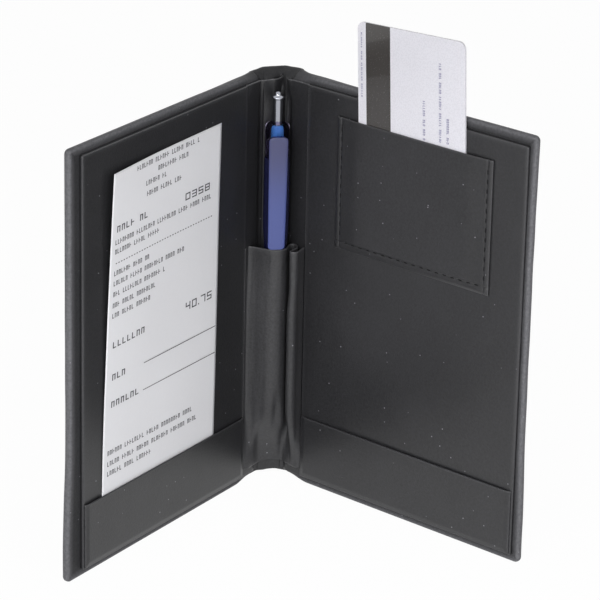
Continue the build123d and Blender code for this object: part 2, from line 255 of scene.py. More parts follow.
def mix_colour(tree, factor, first, second):
    """Mixes two colours; each of the three is a socket or a plain value."""
    made = node(tree, "Mix", data_type="RGBA")
    for index, value in ((0, factor), (6, first), (7, second)):
        if isinstance(value, (int, float, tuple)):
            made.inputs[index].default_value = value
        else:
            tree.links.new(value, made.inputs[index])
    return made.outputs[2]


def own_texture(tree, kind, **settings):
    """A texture measured in the object's own coordinates."""
    texture = node(tree, kind, **settings)
    tree.links.new(node(tree, "TexCoord").outputs["Object"], texture.inputs["Vector"])
    return texture


def emboss(tree, shader, relief, strength, distance):
    """Bump from a relief to the shader's normal; distance is in metres."""
    bump = node(tree, "Bump", Strength=strength, Distance=distance)
    tree.links.new(relief, bump.inputs["Height"])
    tree.links.new(bump.outputs["Normal"], shader.inputs["Normal"])


def seen_directly(tree):
    """1 for what the camera sees, also in a reflection or through clear plastic; 0 for light on things."""
    ray = node(tree, "LightPath").outputs
    through = math(tree, "MAXIMUM", ray["Is Glossy Ray"], ray["Is Transmission Ray"])
    return math(tree, "MAXIMUM", ray["Is Camera Ray"], through)


print("node helpers ready")

# %% [markdown]
# Leatherette is cloth coated with plastic and pressed with a fine pebble grain, here about half a
# millimetre across. A photograph of real grain would tie the pattern to one picture, so the pebbles are
# Voronoi cells with noise in them, measured in the object's own space, which gives every piece one scale.

# %% The grain of leatherette
grain, grain_in, grain_out = new_group(
    "leatherette grain",
    [
        ("Color", "Color", rgb(48, 48, 51)),
        ("Cells per metre", "Float", 1700.0),
        ("Depth", "Float", 0.35),
        ("Roughness", "Float", 0.5),
        ("Mottle", "Float", 0.5),
    ],
    [("Color", "Color"), ("Roughness", "Float"), ("Normal", "Vector")],
)
pebbles = own_texture(grain, "TexVoronoi", feature="SMOOTH_F1", Smoothness=0.6)
creases = own_texture(grain, "TexNoise", Detail=3.0, Roughness=0.6)
patches = own_texture(grain, "TexNoise", Scale=38.0, Detail=2.0)
grain.links.new(grain_in["Cells per metre"], pebbles.inputs["Scale"])
grain.links.new(math(grain, "MULTIPLY", grain_in["Cells per metre"], 0.55), creases.inputs["Scale"])
hollow = math(grain, "MULTIPLY", pebbles.outputs["Distance"], -0.7)
height = math(grain, "ADD", hollow, math(grain, "MULTIPLY", creases.outputs["Fac"], 0.6))
pressed = node(grain, "Bump", Distance=0.00022)
grain.links.new(height, pressed.inputs["Height"])
grain.links.new(grain_in["Depth"], pressed.inputs["Strength"])
crease = math(grain, "SUBTRACT", creases.outputs["Fac"], 0.5)
shade = math(grain, "SUBTRACT", patches.outputs["Fac"], 0.5)
shade = math(grain, "ADD", math(grain, "MULTIPLY", shade, grain_in["Mottle"]), 1.0)
shade = math(grain, "ADD", shade, math(grain, "MULTIPLY", math(grain, "ADD", height, 0.1), 0.3))
shade = math(grain, "ADD", shade, math(grain, "MULTIPLY", crease, 1.1))
tint = node(grain, "VectorMath", operation="SCALE")
grain.links.new(grain_in["Color"], tint.inputs[0])
grain.links.new(shade, tint.inputs["Scale"])
grain.links.new(tint.outputs[0], grain_out["Color"])
uneven = math(grain, "MULTIPLY", crease, 0.1)
grain.links.new(math(grain, "ADD", grain_in["Roughness"], uneven), grain_out["Roughness"])
grain.links.new(pressed.outputs["Normal"], grain_out["Normal"])
print("group:", grain.name)

# %% [markdown]
# Where a folder is handled, its edges go paler and smoother, and a black surface holds lint. The paler edges
# also stand for the light that rounded rims and cut edges catch: partly wear, partly a painted highlight. Both
# are masks over the surface. The paling starts from a value that each mesh carries, high along its edges, and
# noise breaks it up. Lint is the rare Voronoi cell whose random value passes a limit.

# %% Edge wear, painted edge highlight and lint
edge_paling, edge_paling_in, edge_paling_out = new_group(
    "edge wear, painted edge highlight and lint",
    [
        ("Color", "Color", rgb(48, 48, 51)),
        ("Edge", "Float", 0.0),
        ("Wear", "Float", 0.35),
        ("Pale", "Color", rgb(128, 128, 132)),
        ("Lint", "Float", 0.6),
    ],
    [("Color", "Color"), ("Paled", "Float")],
)
paling_noise = own_texture(edge_paling, "TexNoise", Scale=900.0, Detail=2.0, Roughness=0.5)
specks = own_texture(edge_paling, "TexVoronoi", Scale=260.0)
# The paled share is partly edge wear and partly a painted highlight on rims and edges.
broken = remap(edge_paling, paling_noise.outputs["Fac"], 0.2, 0.8, 0.6, 1.0)
paled_share = math(edge_paling, "MULTIPLY", edge_paling_in["Edge"], broken)
paled_share = math(edge_paling, "MULTIPLY", paled_share, edge_paling_in["Wear"], clamp=True)
picked = node(edge_paling, "SeparateColor")
edge_paling.links.new(specks.outputs["Color"], picked.inputs["Color"])
rare = math(edge_paling, "GREATER_THAN", picked.outputs["Red"], 0.62)
small = remap(edge_paling, specks.outputs["Distance"], 0.085, 0.05)
lint = math(edge_paling, "MULTIPLY", math(edge_paling, "MULTIPLY", rare, small), edge_paling_in["Lint"])
coloured = mix_colour(edge_paling, paled_share, edge_paling_in["Color"], edge_paling_in["Pale"])
edge_paling.links.new(mix_colour(edge_paling, lint, coloured, rgb(150, 150, 156)), edge_paling_out["Color"])
edge_paling.links.new(paled_share, edge_paling_out["Paled"])
print("group:", edge_paling.name)


# %% A material around the shared groups
def plain_material(name, **settings):
    """A material with one Principled shader; settings are its sockets, with _ for spaces."""
    material = bpy.data.materials.new(name)
    material.use_nodes = True
    shader = material.node_tree.nodes["Principled BSDF"]
    for key, value in settings.items():
        shader.inputs[key.replace("_", " ")].default_value = value
    return material, material.node_tree, shader


def leatherette(name, colour, cells=1900.0, depth=0.24, roughness=0.35, paling_amount=0.3, lint=0.8, shine=0.5):
    """Grain, then edge wear with a painted edge highlight, and lint over it, into one shader."""
    material, tree, shader = plain_material(name, Specular_IOR_Level=shine)
    grained = node(
        tree, "Group", node_tree=grain, Color=colour, Cells_per_metre=cells, Depth=depth, Roughness=roughness
    )
    paled_edges = node(tree, "Group", node_tree=edge_paling, Wear=paling_amount, Lint=lint)
    edge = node(tree, "Attribute", attribute_name="edge")
    tree.links.new(edge.outputs["Fac"], paled_edges.inputs["Edge"])
    tree.links.new(grained.outputs["Color"], paled_edges.inputs["Color"])
    tree.links.new(paled_edges.outputs["Color"], shader.inputs["Base Color"])
    smoother = math(tree, "MULTIPLY", paled_edges.outputs["Paled"], -0.12)
    tree.links.new(math(tree, "ADD", grained.outputs["Roughness"], smoother), shader.inputs["Roughness"])
    tree.links.new(grained.outputs["Normal"], shader.inputs["Normal"])
    return material


# The covers' edges are paled strongly: partly wear, partly a painted highlight on the rounded rims.
cover_leatherette = leatherette(
    "cover leatherette", rgb(43, 43, 45), cells=1700, depth=0.35, roughness=0.6, paling_amount=0.65, lint=0.6, shine=0.25
)
liner_leatherette = leatherette("liner leatherette", rgb(39, 39, 41), paling_amount=0.12)
pocket_leatherette = leatherette("pocket leatherette", rgb(40, 40, 42), roughness=0.34, paling_amount=0.16)
sleeve_leatherette = leatherette(
    "sleeve leatherette", rgb(52, 52, 54), depth=0.28, roughness=0.4, lint=1.0, shine=0.45
)
print("leatherettes share", [group.name for group in (grain, edge_paling)])

# %% [markdown]
# ## The wrapped covers
# Each cover is a board with leatherette drawn over it and turned in on the three free edges. A bevelled box
# would look machined. Here the sheet itself is worked out: a section that runs from the turned-in edge,
# round the rim and over the back, carried along a U-shaped outline that shrinks with each step inwards.

# %% The section and the outline
def arc(centre, radius, start, end, steps):
    """Points of a circle's arc from start to end, in degrees."""
    turn = np.radians(np.linspace(start, end, steps))
    return np.stack([centre[0] + radius * np.cos(turn), centre[1] + radius * np.sin(turn)], -1)


def u_outline(inset, first, last, low, high, corner, legs=44, bend=7, front=60):
    """A U lying on its side, inset from the free edges: along the foot, round a corner, up the fore-edge,
    round the other corner and back along the head. Gives (inset, point, 2) as along and height."""
    inset = np.asarray(inset, float)[:, None]
    radius = np.maximum(corner - inset, 0.02)
    turn = np.radians(np.linspace(-90, 0, bend))[None]
    centre_a = last - inset - radius
    foot, head = low + inset + radius, high - inset - radius
    leg = np.linspace(0, 1, legs)[None, :-1] ** 1.35
    side_share = np.linspace(0, 1, front)[None, 1:-1]
    along = [first + leg * (centre_a - first), centre_a + radius * np.cos(turn)]
    height = [(low + inset) + 0 * leg, foot + radius * np.sin(turn)]
    along += [(last - inset) + 0 * side_share, centre_a + radius * np.cos(turn[:, ::-1])]
    height += [foot + side_share * (head - foot), head - radius * np.sin(turn[:, ::-1])]
    along.append(first + leg[:, ::-1] * (centre_a - first))
    height.append((high - inset) + 0 * leg)
    return np.stack([np.concatenate(along, 1), np.concatenate(height, 1)], -1)


turn_in, inner_edge, outer_edge = 12.0, 1.1, 1.7
flat_rows, front_rows = 7, 14
rim = np.concatenate([
    np.stack([np.linspace(turn_in, 1.6, flat_rows), np.full(flat_rows, liner_back)], -1),
    arc((inner_edge, liner_back - inner_edge), inner_edge, 90, 180, front_rows - flat_rows),
    arc((outer_edge, cover_back + outer_edge), outer_edge, 180, 270, 8),
    np.stack([
        outer_edge + (88 - outer_edge) * np.linspace(0, 1, 22)[1:] ** 1.3, np.full(21, cover_back)
    ], -1),
])
print("section points:", len(rim))

# %% [markdown]
# The real boards aren't true. Towards the spine the leatherette leaves the board and bulges outwards, more on
# the right, and past the board's end its turned-in edge slopes down. The free edges also stand out a little
# more in some places than in others. These are small shifts of the same points.

# %% The two cover skins
def bulge(side, along):
    """How far the outer face stands off a true board (mm), growing towards the hinge."""
    wide, sharp = (1.4, 2.5) if side > 0 else (0.85, 0.85)
    return wide * ease((25 - along) / 24) + sharp * ease((-2.6 - along) / 9)


def cover_skin(side, hand):
    """Section point (inset, proud) on the outline inset by that much, pushed about a little: drawn
    leatherette is never quite flat, and its folded corners dip along the diagonal."""
    path = u_outline(rim[:, 0], -cover_tail, cover_reach, 0, cover_height, 2.2)
    along, height = path[..., 0], path[..., 1]
    inset, depth = rim[:, 0:1], rim[:, 1:2]
    proud = np.broadcast_to(depth, along.shape).copy()
    outwards = np.where(proud < cover_back + 0.1, -1, 1)
    proud += outwards * 0.05 * ripple(along, height, 34, 7 + side) * ease(inset / 6)
    edge_wave = 0.12 * ripple(along, height, 23, 11 + side) * (1 - ease(inset / 4))
    for corner_height in (0.0, cover_height):
        diagonal = (cover_reach - along) - np.abs(corner_height - height)
        from_corner = np.hypot(cover_reach - along, corner_height - height)
        proud = proud - 0.32 * near(diagonal, 0.7) * ease((9 - from_corner) / 6) * (proud > -2.3)
    stand = bulge(side, along)
    outer = np.clip((-2.4 - depth) / 0.5, 0, 1)
    share = np.zeros((len(rim), 1))
    share[:flat_rows], share[flat_rows:front_rows, 0] = 1, np.linspace(1, 0, front_rows - flat_rows)
    sloped_in = np.interp(share, [0, 0.59, 0.91, 1], [0, 1.2, 2.6, 3.4])
    sloped_in[:flat_rows, 0] = np.linspace(turn_in, 3.8, flat_rows)
    loose = ease((2.5 - along) / 9) * (np.arange(len(rim)) < front_rows)[:, None]
    towards = np.where(height < cover_height / 2, 1.0, -1.0)
    height = height + towards * loose * (sloped_in - inset)
    proud = proud - outer * stand
    proud = proud + loose * (liner_back - (1 - share) * (inner_edge + stand) - proud)
    # Painted highlight with wear: the edge mask pales the rim where it rounds over, more away from the hinge.
    edge = near(inset - 0.3, 1.5) * (0.3 + 0.7 * ease((along + cover_tail) / 18))
    at_fore, at_head = ease((along - 104) / 9), ease((height - 164) / 10)
    low = ease((62 - height) / 50)
    along = along - edge_wave * (along > cover_reach - 6)
    if side < 0:
        along = along + (1.2 + 1.9 * low) * at_fore
        height = height + 0.45 * at_head * ease((along + 4) / 40)
    else:
        along = along + (-1.3 + 0.8 * low + 0.5 * ease((height - 130) / 44)) * at_fore
        height = height + 1.25 * at_head * ease((along + 4) / 110) ** 0.6
    points = on_cover(side, along, height, proud)
    sheet = skin_mesh(
        f"{hand}_cover_leatherette",
        points,
        grid_faces(*along.shape),
        look=-cover_front(side),
        masks={"edge": edge.ravel()},
    )
    thicken(sheet, cover_sheet)
    return dress(sheet, cover_leatherette, "leatherette", f"{hand}_cover", [f"{hand}_cover_skin"])


for side, hand in sides:
    print(cover_skin(side, hand).name)

# %% [markdown]
# ## Liners
# A liner is stiff card wrapped in thinner leatherette: a flat slab with softly rounded edges. Rings do it:
# the outline of a rounded rectangle shrinks step by step, over the front and over the back, until its long
# sides meet in a line, so no point of the surface is a pole.

# %% A soft slab on a cover
def ring_outline(inset, first, last, low, high, corner, bend=6, across=26, up=40):
    """A rounded rectangle inset by each amount, as (inset, point, 2), going once round."""
    inset = np.asarray(inset, float)[:, None]
    half_a, half_h = (last - first) / 2 - inset, (high - low) / 2 - inset
    radius = np.clip(corner - inset, 0.02, None)
    radius = np.minimum(radius, np.maximum(np.minimum(half_a, half_h), 1e-4))
    middle = ((first + last) / 2, (low + high) / 2)
    turn = np.linspace(0, np.pi / 2, bend)[None]
    sides = [np.linspace(0, 1, up)[None, 1:-1], np.linspace(0, 1, across)[None, 1:-1]] * 2
    along, height = [], []
    for quarter in range(4):
        ca = (1, -1, -1, 1)[quarter] * (half_a - radius)
        ch = (1, 1, -1, -1)[quarter] * (half_h - radius)
        next_ca = (-1, -1, 1, 1)[quarter] * (half_a - radius)
        next_ch = (1, -1, -1, 1)[quarter] * (half_h - radius)
        angle = turn + quarter * np.pi / 2
        corner_a, corner_h = ca + radius * np.cos(angle), ch + radius * np.sin(angle)
        after = quarter * np.pi / 2 + np.pi / 2
        next_a, next_h = next_ca + radius * np.cos(after), next_ch + radius * np.sin(after)
        share = sides[(quarter + 1) % 4]
        along += [corner_a, corner_a[:, -1:] + share * (next_a - corner_a[:, -1:])]
        height += [corner_h, corner_h[:, -1:] + share * (next_h - corner_h[:, -1:])]
    return np.stack([middle[0] + np.concatenate(along, 1), middle[1] + np.concatenate(height, 1)], -1)


def liner_panel(side, hand):
    """Front face, rounded edge, short side and back face, with a faint unevenness on the front."""
    reach = liner_reach - (1.5 if side < 0 else 0)
    widest = reach / 2
    bend = 0.55
    front = np.stack([bend + (widest - bend) * np.linspace(1, 0, 16)[:-1] ** 1.4, np.zeros(15)], -1)
    turned = arc((bend, -bend), bend, 90, 180, 6)
    back = np.stack([widest * np.linspace(0, 1, 8) ** 1.4, np.full(8, liner_back + 0.01)], -1)
    section = np.concatenate([front, turned, back])
    path = ring_outline(section[:, 0], 0, reach, liner_foot, liner_top, 0.8)
    along, height = path[..., 0], path[..., 1]
    proud = section[:, 1:2] + 0.035 * ripple(along, height, 42, 3 + side) * (section[:, 1:2] > -0.3)
    # Painted highlight: the edge mask pales a thin line along the rounded edge of the front.
    edge = near(section[:, 0:1] - 0.2, 0.8) * (section[:, 1:2] > -1.0) * np.ones_like(along)
    panel = skin_mesh(
        f"{hand}_liner_panel",
        on_cover(side, along, height, proud),
        grid_faces(*along.shape, wrap_columns=True),
        masks={"edge": edge.ravel()},
    )
    return dress(panel, liner_leatherette, "liner_leatherette", f"{hand}_cover", [f"{hand}_liner"])


for side, hand in sides:
    print(liner_panel(side, hand).name)

# %% [markdown]
# ## Pockets along the foot
# A strip of leatherette is welded to the liner at its two ends and its foot. Its top edge is free and stands
# a little off the liner. The sheet is one function: how proud it stands grows from the welds to the free edge.

# %% Foot pockets
def lines(*spans):
    """Grid lines from spans of (first, last, count), so that a sheet is finer where it bends."""
    return np.unique(np.concatenate([np.linspace(*span) for span in spans]))


def foot_pocket(side, hand):
    """proud = 0.62 at a weld, 1.1 within 2.4 mm of it, and a slight belly towards the top's middle."""
    first, last, foot, top = 0.6, 109.4 if side < 0 else 110.8, 3.6, 30.5
    along = lines((first, 4, 12), (4, last - 3.4, 70), (last - 3.4, last, 12))
    height = lines((foot, 7, 10), (7, 28.5, 22), (28.5, top, 6))
    along, height = np.meshgrid(along, height, indexing="ij")
    from_weld = nearest(along - first, last - along, height - foot)
    belly = 0.16 * np.sin(np.pi * (along - first) / (last - first)) * ease((height - 12) / 18)
    proud = 0.62 + 0.48 * ease(from_weld / 2.4) + belly + 0.04 * ripple(along, height, 20, 21 + side)
    # Painted highlight: the edge mask pales a thin line along the free top edge, and fainter along the welds.
    edge = np.maximum(near(top - height, 0.5), 0.7 * near(from_weld, 0.6))
    sheet = skin_mesh(
        f"{hand}_foot_pocket_sheet",
        on_cover(side, along, height, proud),
        grid_faces(*along.shape),
        look=cover_front(side),
        masks={"edge": edge.ravel()},
    )
    thicken(sheet, 0.58)
    return dress(sheet, pocket_leatherette, "liner_leatherette", f"{hand}_cover", [f"{hand}_foot_pocket"])


for side, hand in sides:
    print(foot_pocket(side, hand).name)

# %% [markdown]
# ## The card pocket and its stitches
# The pocket is sewn on three sides. Thread pulls the sheet down, so each seam is a shallow valley, and the
# card inside lifts the middle. Each stitch is a short bowed capsule that dives into the sheet at both ends.

# %% Card pocket
pocket_start, pocket_end, pocket_foot, pocket_top = 16.4, 95.4, 108.7, 163.8
seam_left, seam_right, seam_foot = pocket_start + 2.7, pocket_end - 2.3, pocket_foot + 3.2
pitch = 3.95
side_middles = seam_foot + 1.5 + (np.arange(12) + 0.5) * pitch
foot_middles = seam_left + 1.5 + (np.arange(18) + 0.5) * pitch


def pocket_proud(along, height):
    """1.6 over the card, also where it is pushed right down, 1.05 beside it, falling to 0.66 at the rim.
    Each seam is a narrow valley, deep under a stitch and shallow between two."""
    over_card = ease((along - 19.1) / 10.7) * ease((93.1 - along) / 11.7) * ease((height - 109.7) / 3)
    to_side, to_foot = nearest(np.abs(along - seam_left), np.abs(along - seam_right)), np.abs(height - seam_foot)
    to_rim = nearest(along - pocket_start, pocket_end - along, height - pocket_foot)
    step = np.where(to_side < to_foot, height - side_middles[0], along - foot_middles[0]) / pitch
    valley = (0.24 + 0.1 * np.cos(2 * np.pi * step)) * near(nearest(to_side, to_foot), 0.36)
    return 0.66 + 0.39 * ease(to_rim / 1.3) + 0.55 * over_card - valley


along = lines((pocket_start, 22, 26), (22, 88, 120), (88, pocket_end, 30))
height = lines((pocket_foot, 114, 26), (114, 163.1, 90), (163.5, pocket_top, 2))
along, height = np.meshgrid(along, height, indexing="ij")
to_rim = nearest(along - pocket_start, pocket_end - along, height - pocket_foot, pocket_top - height)
# The edge mask pales a thin line round the rim: a painted highlight.
card_sheet = skin_mesh(
    "card_pocket_sheet",
    on_cover(1, along, height, pocket_proud(along, height) + 0.03 * ripple(along, height, 17, 5)),
    grid_faces(*along.shape),
    look=cover_front(1),
    masks={"edge": near(to_rim, 0.45).ravel()},
)
thicken(card_sheet, liner_sheet)
dress(card_sheet, pocket_leatherette, "liner_leatherette", "right_cover", ["card_pocket"])
print(card_sheet.name, len(card_sheet.data.polygons), "faces")

# %% Thread
thread, tree, shader = plain_material("black thread", Roughness=0.75, Specular_IOR_Level=0.25)
plies = own_texture(tree, "TexWave", Scale=900.0, Distortion=1.5, bands_direction="DIAGONAL").outputs["Fac"]
tree.links.new(mix_colour(tree, plies, rgb(8, 8, 9), rgb(24, 24, 26)), shader.inputs["Base Color"])
emboss(tree, shader, plies, 0.5, 0.0001)

middles = np.array(
    [(seam_left, h, 1) for h in side_middles]
    + [(seam_right, h, 1) for h in side_middles]
    + [(a, seam_foot, 0) for a in foot_middles]
)
stitch_rings, stitch_sides = 9, 8
lengthwise = np.linspace(-1, 1, stitch_rings)
around = np.linspace(0, 2 * np.pi, stitch_sides, endpoint=False)
girth = np.sqrt(np.clip(1 - lengthwise**4, 0.0009, None))
reach_out, across = 1.2 * lengthwise[:, None], 0.28 * girth[:, None] * np.cos(around)
lift = 0.26 * (1 - lengthwise[:, None] ** 2) + 0.2 * girth[:, None] * np.sin(around) - 0.06
upright = middles[:, 2][:, None, None]
a = middles[:, 0][:, None, None] + np.where(upright > 0, across, reach_out)
h = middles[:, 1][:, None, None] + np.where(upright > 0, reach_out, across)
seam_level = pocket_proud(middles[:, 0], middles[:, 1])[:, None, None]
stitch_points = on_cover(1, a, h, seam_level + lift)
first_points = np.arange(len(middles)) * stitch_rings * stitch_sides
one_stitch = capped_tube(stitch_rings, stitch_sides)
faces = [[first + corner for corner in face] for first in first_points.tolist() for face in one_stitch]
stitches = skin_mesh("card_pocket_thread", stitch_points, faces, merge=False)
dress(stitches, thread, "thread", "right_cover", ["card_pocket_stitching"])
print("stitches:", len(middles))

# %% [markdown]
# ## Round the spine
# At the spine the leatherette is soft: it runs from cover to cover, and at head and foot it is turned in and
# slopes down to the liner's sheet. Two plan lines, one outside and one inside, and a section between them
# describe it. It is made in three lengths, and only the middle one moves with the spine.

# %% Plan lines across the spine
def smooth_line(points, count):
    """A curve through points by Catmull-Rom, resampled to even steps."""
    p = np.asarray(points, float)
    p = np.concatenate([2 * p[:1] - p[1:2], p, 2 * p[-1:] - p[-2:-1]])
    t = np.linspace(0, 1, 24, endpoint=False)[:, None]
    spans = []
    for a, b, c, d in zip(p, p[1:], p[2:], p[3:]):
        square, cube = 2 * a - 5 * b + 4 * c - d, 3 * b - a - 3 * c + d
        spans.append(0.5 * (2 * b + (c - a) * t + square * t**2 + cube * t**3))
    line = np.concatenate([*spans, p[-2:-1]])
    travelled = np.concatenate([[0], np.cumsum(np.linalg.norm(np.diff(line, axis=0), axis=1))])
    even = np.linspace(0, travelled[-1], count)
    return np.stack([np.interp(even, travelled, line[:, k]) for k in range(line.shape[1])], -1)


def on_plan(side, along, proud):
    """A cover's point seen from above."""
    return on_cover(side, along, 0.0, proud)[:2]


def behind(*points):
    """Points seen from above, each given as x and a distance behind the fold lines."""
    return [np.array([x, fold_y + distance]) for x, distance in points]


outer_left = smooth_line([
    on_plan(-1, -9.2, cover_back - bulge(-1, -9.2)), *behind((-9.1, 12.5), (-7.4, 13.9), (-5.9, 15.4), (-4.8, 16.5)),
], 18)
outer_middle = smooth_line(
    behind((-4.8, 16.5), (-3.4, 17.2), (0, 17.6), (2.6, 17.9), (4.2, 18.1), (4.8, 18.1)), 24
)
outer_right = smooth_line([
    *behind((4.8, 18.1), (6.1, 17.6), (7.6, 16.4), (9.2, 15.5), (10.8, 14.4), (11.9, 13.2)),
    on_plan(1, -9.2, cover_back - bulge(1, -9.2)),
], 24)
sheet_left = smooth_line([
    on_plan(-1, 0, -0.7), on_plan(-1, -4.6, -0.7), on_plan(-1, -8.6, -0.7), *behind((-6.2, 8.75), (-4.6, 9.1)),
], 20)
sheet_middle = smooth_line(behind(
    (-4.6, 9.1), (-2.2, 9.0), (-0.4, 9.1), (0.9, 10.3), (1.9, 12.4), (2.8, 13.1), (3.5, 11.4), (3.9, 9.7), (4.6, 9.1),
), 34)
sheet_right = sheet_left[::-1] * np.array([-1.0, 1.0])
head_left = smooth_line([
    on_plan(-1, 0, -0.7), on_plan(-1, -2.5, -0.3), on_plan(-1, -8.2, -0.1), *behind((-6.0, 7.0), (-4.6, 6.9)),
], 20)
head_middle = smooth_line(behind(
    (-4.6, 6.9), (-3.0, 7.6), (-1.4, 8.1), (0.2, 8.6), (2.4, 10.4), (3.8, 12.3), (4.4, 12.3), (4.7, 10.4),
), 34)
head_right = smooth_line([
    *behind((4.7, 10.4), (5.2, 7.9), (6.2, 7.2)), on_plan(1, -8.4, -0.5), on_plan(1, -4.6, -0.7), on_plan(1, 0, -0.7),
], 20)
print("plan points across the spine:", len(outer_left) + len(outer_middle) + len(outer_right))

# %% The turned-in leatherette
over_board = np.array([0, 0, 0, 0.33, 0.92, 1.7, 2.2])
past_board = np.array([0.59, 0.91, 1, 1, 1])
rim_depth = np.array([12, 4, 1.7, 0.75, 0.2, 0, 0, 0.25, 0.7, 1.4, 5, 11])
slope_depth = np.array([12, 4, 1.4, 0.4, 0.08, 0, 0, 1.2, 2.6, 3.4, 5, 11])


def wrap_section(width, share):
    """For each length: distance in from the outer line, and depth below the head. It rounds over the rim,
    runs level over the board's 2.2 mm, then drops to the inner line, width away: at once for share 0, as
    on a wrapped board's rim, and in a long slope over the spine's hollow for share 1."""
    across = [np.concatenate([over_board, 2.2 + (w - 2.2) * past_board]) for w in width]
    down = [rim_depth * (1 - s) + slope_depth * s for s in share]
    return np.stack([smooth_line(np.stack([a, d], -1), 34) for a, d in zip(across, down)])


def spine_wrap(name, outer, inner, share, **how):
    """Foot turn-in, outer face and head turn-in in one sheet: the head's section, and the same upside down."""
    width = np.linalg.norm(inner - outer, axis=1)
    section = wrap_section(width, share)
    f = np.concatenate([section[:, ::-1, 0], section[:, :, 0]], 1) / width[:, None]
    z = np.clip(np.concatenate([section[:, ::-1, 1], cover_height - section[:, :, 1]], 1), 0, cover_height)
    plan = outer[:, None] * (1 - f[..., None]) + inner[:, None] * f[..., None]
    # Painted highlight: the edge mask pales a band along the rounded head and foot of the turn-in.
    edge = 0.5 * near(f - 0.05, 0.16) * (np.minimum(z, cover_height - z) < 4)
    points = np.concatenate([plan, z[..., None]], -1)
    wrap = skin_mesh(name, points, grid_faces(*f.shape), look=(0, 1, 0), masks={"edge": edge.ravel()})
    thicken(wrap, cover_sheet, even=False)
    return dress(wrap, cover_leatherette, "leatherette", **how)


def turned_in(side, count):
    """The inner line of a hinge's wrap, from the board's face to beside the pen."""
    return smooth_line([on_plan(side, -9.2, -1.35), *behind((side * 6.4, 9.2), (side * 4.6, 9.8))], count)


left_wrap = spine_wrap(
    "left_hinge_leatherette", outer_left, turned_in(-1, 18), np.ones(18), stands_for=["left_hinge_strip"]
)
turn_middle = smooth_line(behind((-4.6, 9.8), (-1.5, 9.9), (1.2, 12.0), (3.0, 12.9), (4.6, 9.8)), 24)
middle_wrap = spine_wrap(
    "spine_leatherette", outer_middle, turn_middle, np.ones(len(outer_middle)), body="spine", stands_for=["spine_skin"]
)
right_wrap = spine_wrap(
    "right_hinge_leatherette", outer_right, turned_in(1, 24)[::-1], np.ones(24), stands_for=["right_hinge_strip"]
)
for wrap, (side, hand) in zip((left_wrap, right_wrap), sides):
    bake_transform(wrap)
print("spine wraps:", [wrap.name for wrap in (left_wrap, middle_wrap, right_wrap)])

# %% [markdown]
# The liner's own sheet runs on past the fold lines and over the back of the spine. Its top edge was cut with
# a knife, and the cut is painted as a thin light line, a painted highlight, so the edge mask is high there.

# %% The liner's sheet behind the pen
def standing_sheet(name, plan, head, flat=0.0, **how):
    """A plan line carried straight up. From 163.5 mm up, above the pen's cap, it eases into the head's own
    line, and below 18 mm towards a straight line where flat is 1. Its top edge waves a little."""
    foot, top, wave = liner_foot, liner_top, 0.25
    height = lines((foot, foot + 2, 5), (foot + 2, top - 1, 40), (top - 1, top, 5))
    z = np.broadcast_to(height[:, None], (len(height), len(plan))).copy()
    share = ease((z - (top - 6)) / 6)
    z += wave * ripple(plan[None, :, 0] * 2, plan[None, :, 1] * 2, 7, 17) * share
    mixed, level = ease((z - 163.5) / 8)[..., None], flat * ease((18 - z) / 9)[..., None]
    straight = plan[:1] + (plan[-1:] - plan[:1]) * np.linspace(0, 1, len(plan))[:, None]
    course = (plan[None] * (1 - mixed) + head[None] * mixed) * (1 - level) + straight[None] * level
    points = np.concatenate([course, z[..., None]], -1)
    # Painted highlight: the cut top edge is paled into a thin light line.
    edge = near(top - z + wave, 0.5) * 6
    sheet = skin_mesh(name, points, grid_faces(*z.shape), look=(0, -1, 0), masks={"edge": edge.ravel()})
    thicken(sheet, liner_sheet, even=False)
    return dress(sheet, liner_leatherette, "liner_leatherette", **how)


left_fold = standing_sheet("left_liner_fold_sheet", sheet_left, head_left, stands_for=["left_liner_fold"])
standing_sheet(
    "spine_liner_sheet", sheet_middle, head_middle, flat=1.0, body="spine", stands_for=["spine_liner"]
)
right_fold = standing_sheet("right_liner_fold_sheet", sheet_right, head_right, stands_for=["right_liner_fold"])
for fold, (side, hand) in zip((left_fold, right_fold), sides):
    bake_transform(fold)
print("liner sheets:", left_fold.name, right_fold.name, "and the spine's own")

# %% [markdown]
# ## The pen's sleeve
# One sheet goes from the left fold line, round the pen and back to the right fold line, with one pleat on
# the right that lets it open. At the foot it is pressed flat onto the spine. Three plan lines, at the mouth,
# the waist and the foot, are paired point by point, and each height mixes them, with creases that grow
# downwards.

# %% The sleeve's plan lines
pen_x, pen_y, pen_radius = 0.4, fold_y + 2.8, 4.5
sleeve_radius = pen_radius + 0.3 + 0.6
sleeve_counts = (26, 34, 64)


def split_line(points, start, end):
    """One curve through all the points, cut where it first passes x = start and x = end, so that the three
    lengths meet without a crease. A point very close to each end keeps the shading even up to the cut."""
    whole = smooth_line(points, 600)
    cuts = [np.argmax(whole[:, 0] > start), np.argmax(whole[:, 0] > end)]
    spans = (whole[: cuts[0] + 1], whole[cuts[0] : cuts[1] + 1], whole[cuts[1] :])
    parts = []
    for span, count in zip(spans, sleeve_counts):
        e = smooth_line(span[:: max(1, len(span) // 40)].tolist() + [span[-1]], count)
        by_start, by_end = e[:1] * 0.96 + e[1:2] * 0.04, e[-2:-1] * 0.04 + e[-1:] * 0.96
        parts.append(np.concatenate([e[:1], by_start, e[1:-1], by_end, e[-1:]]))
    return parts


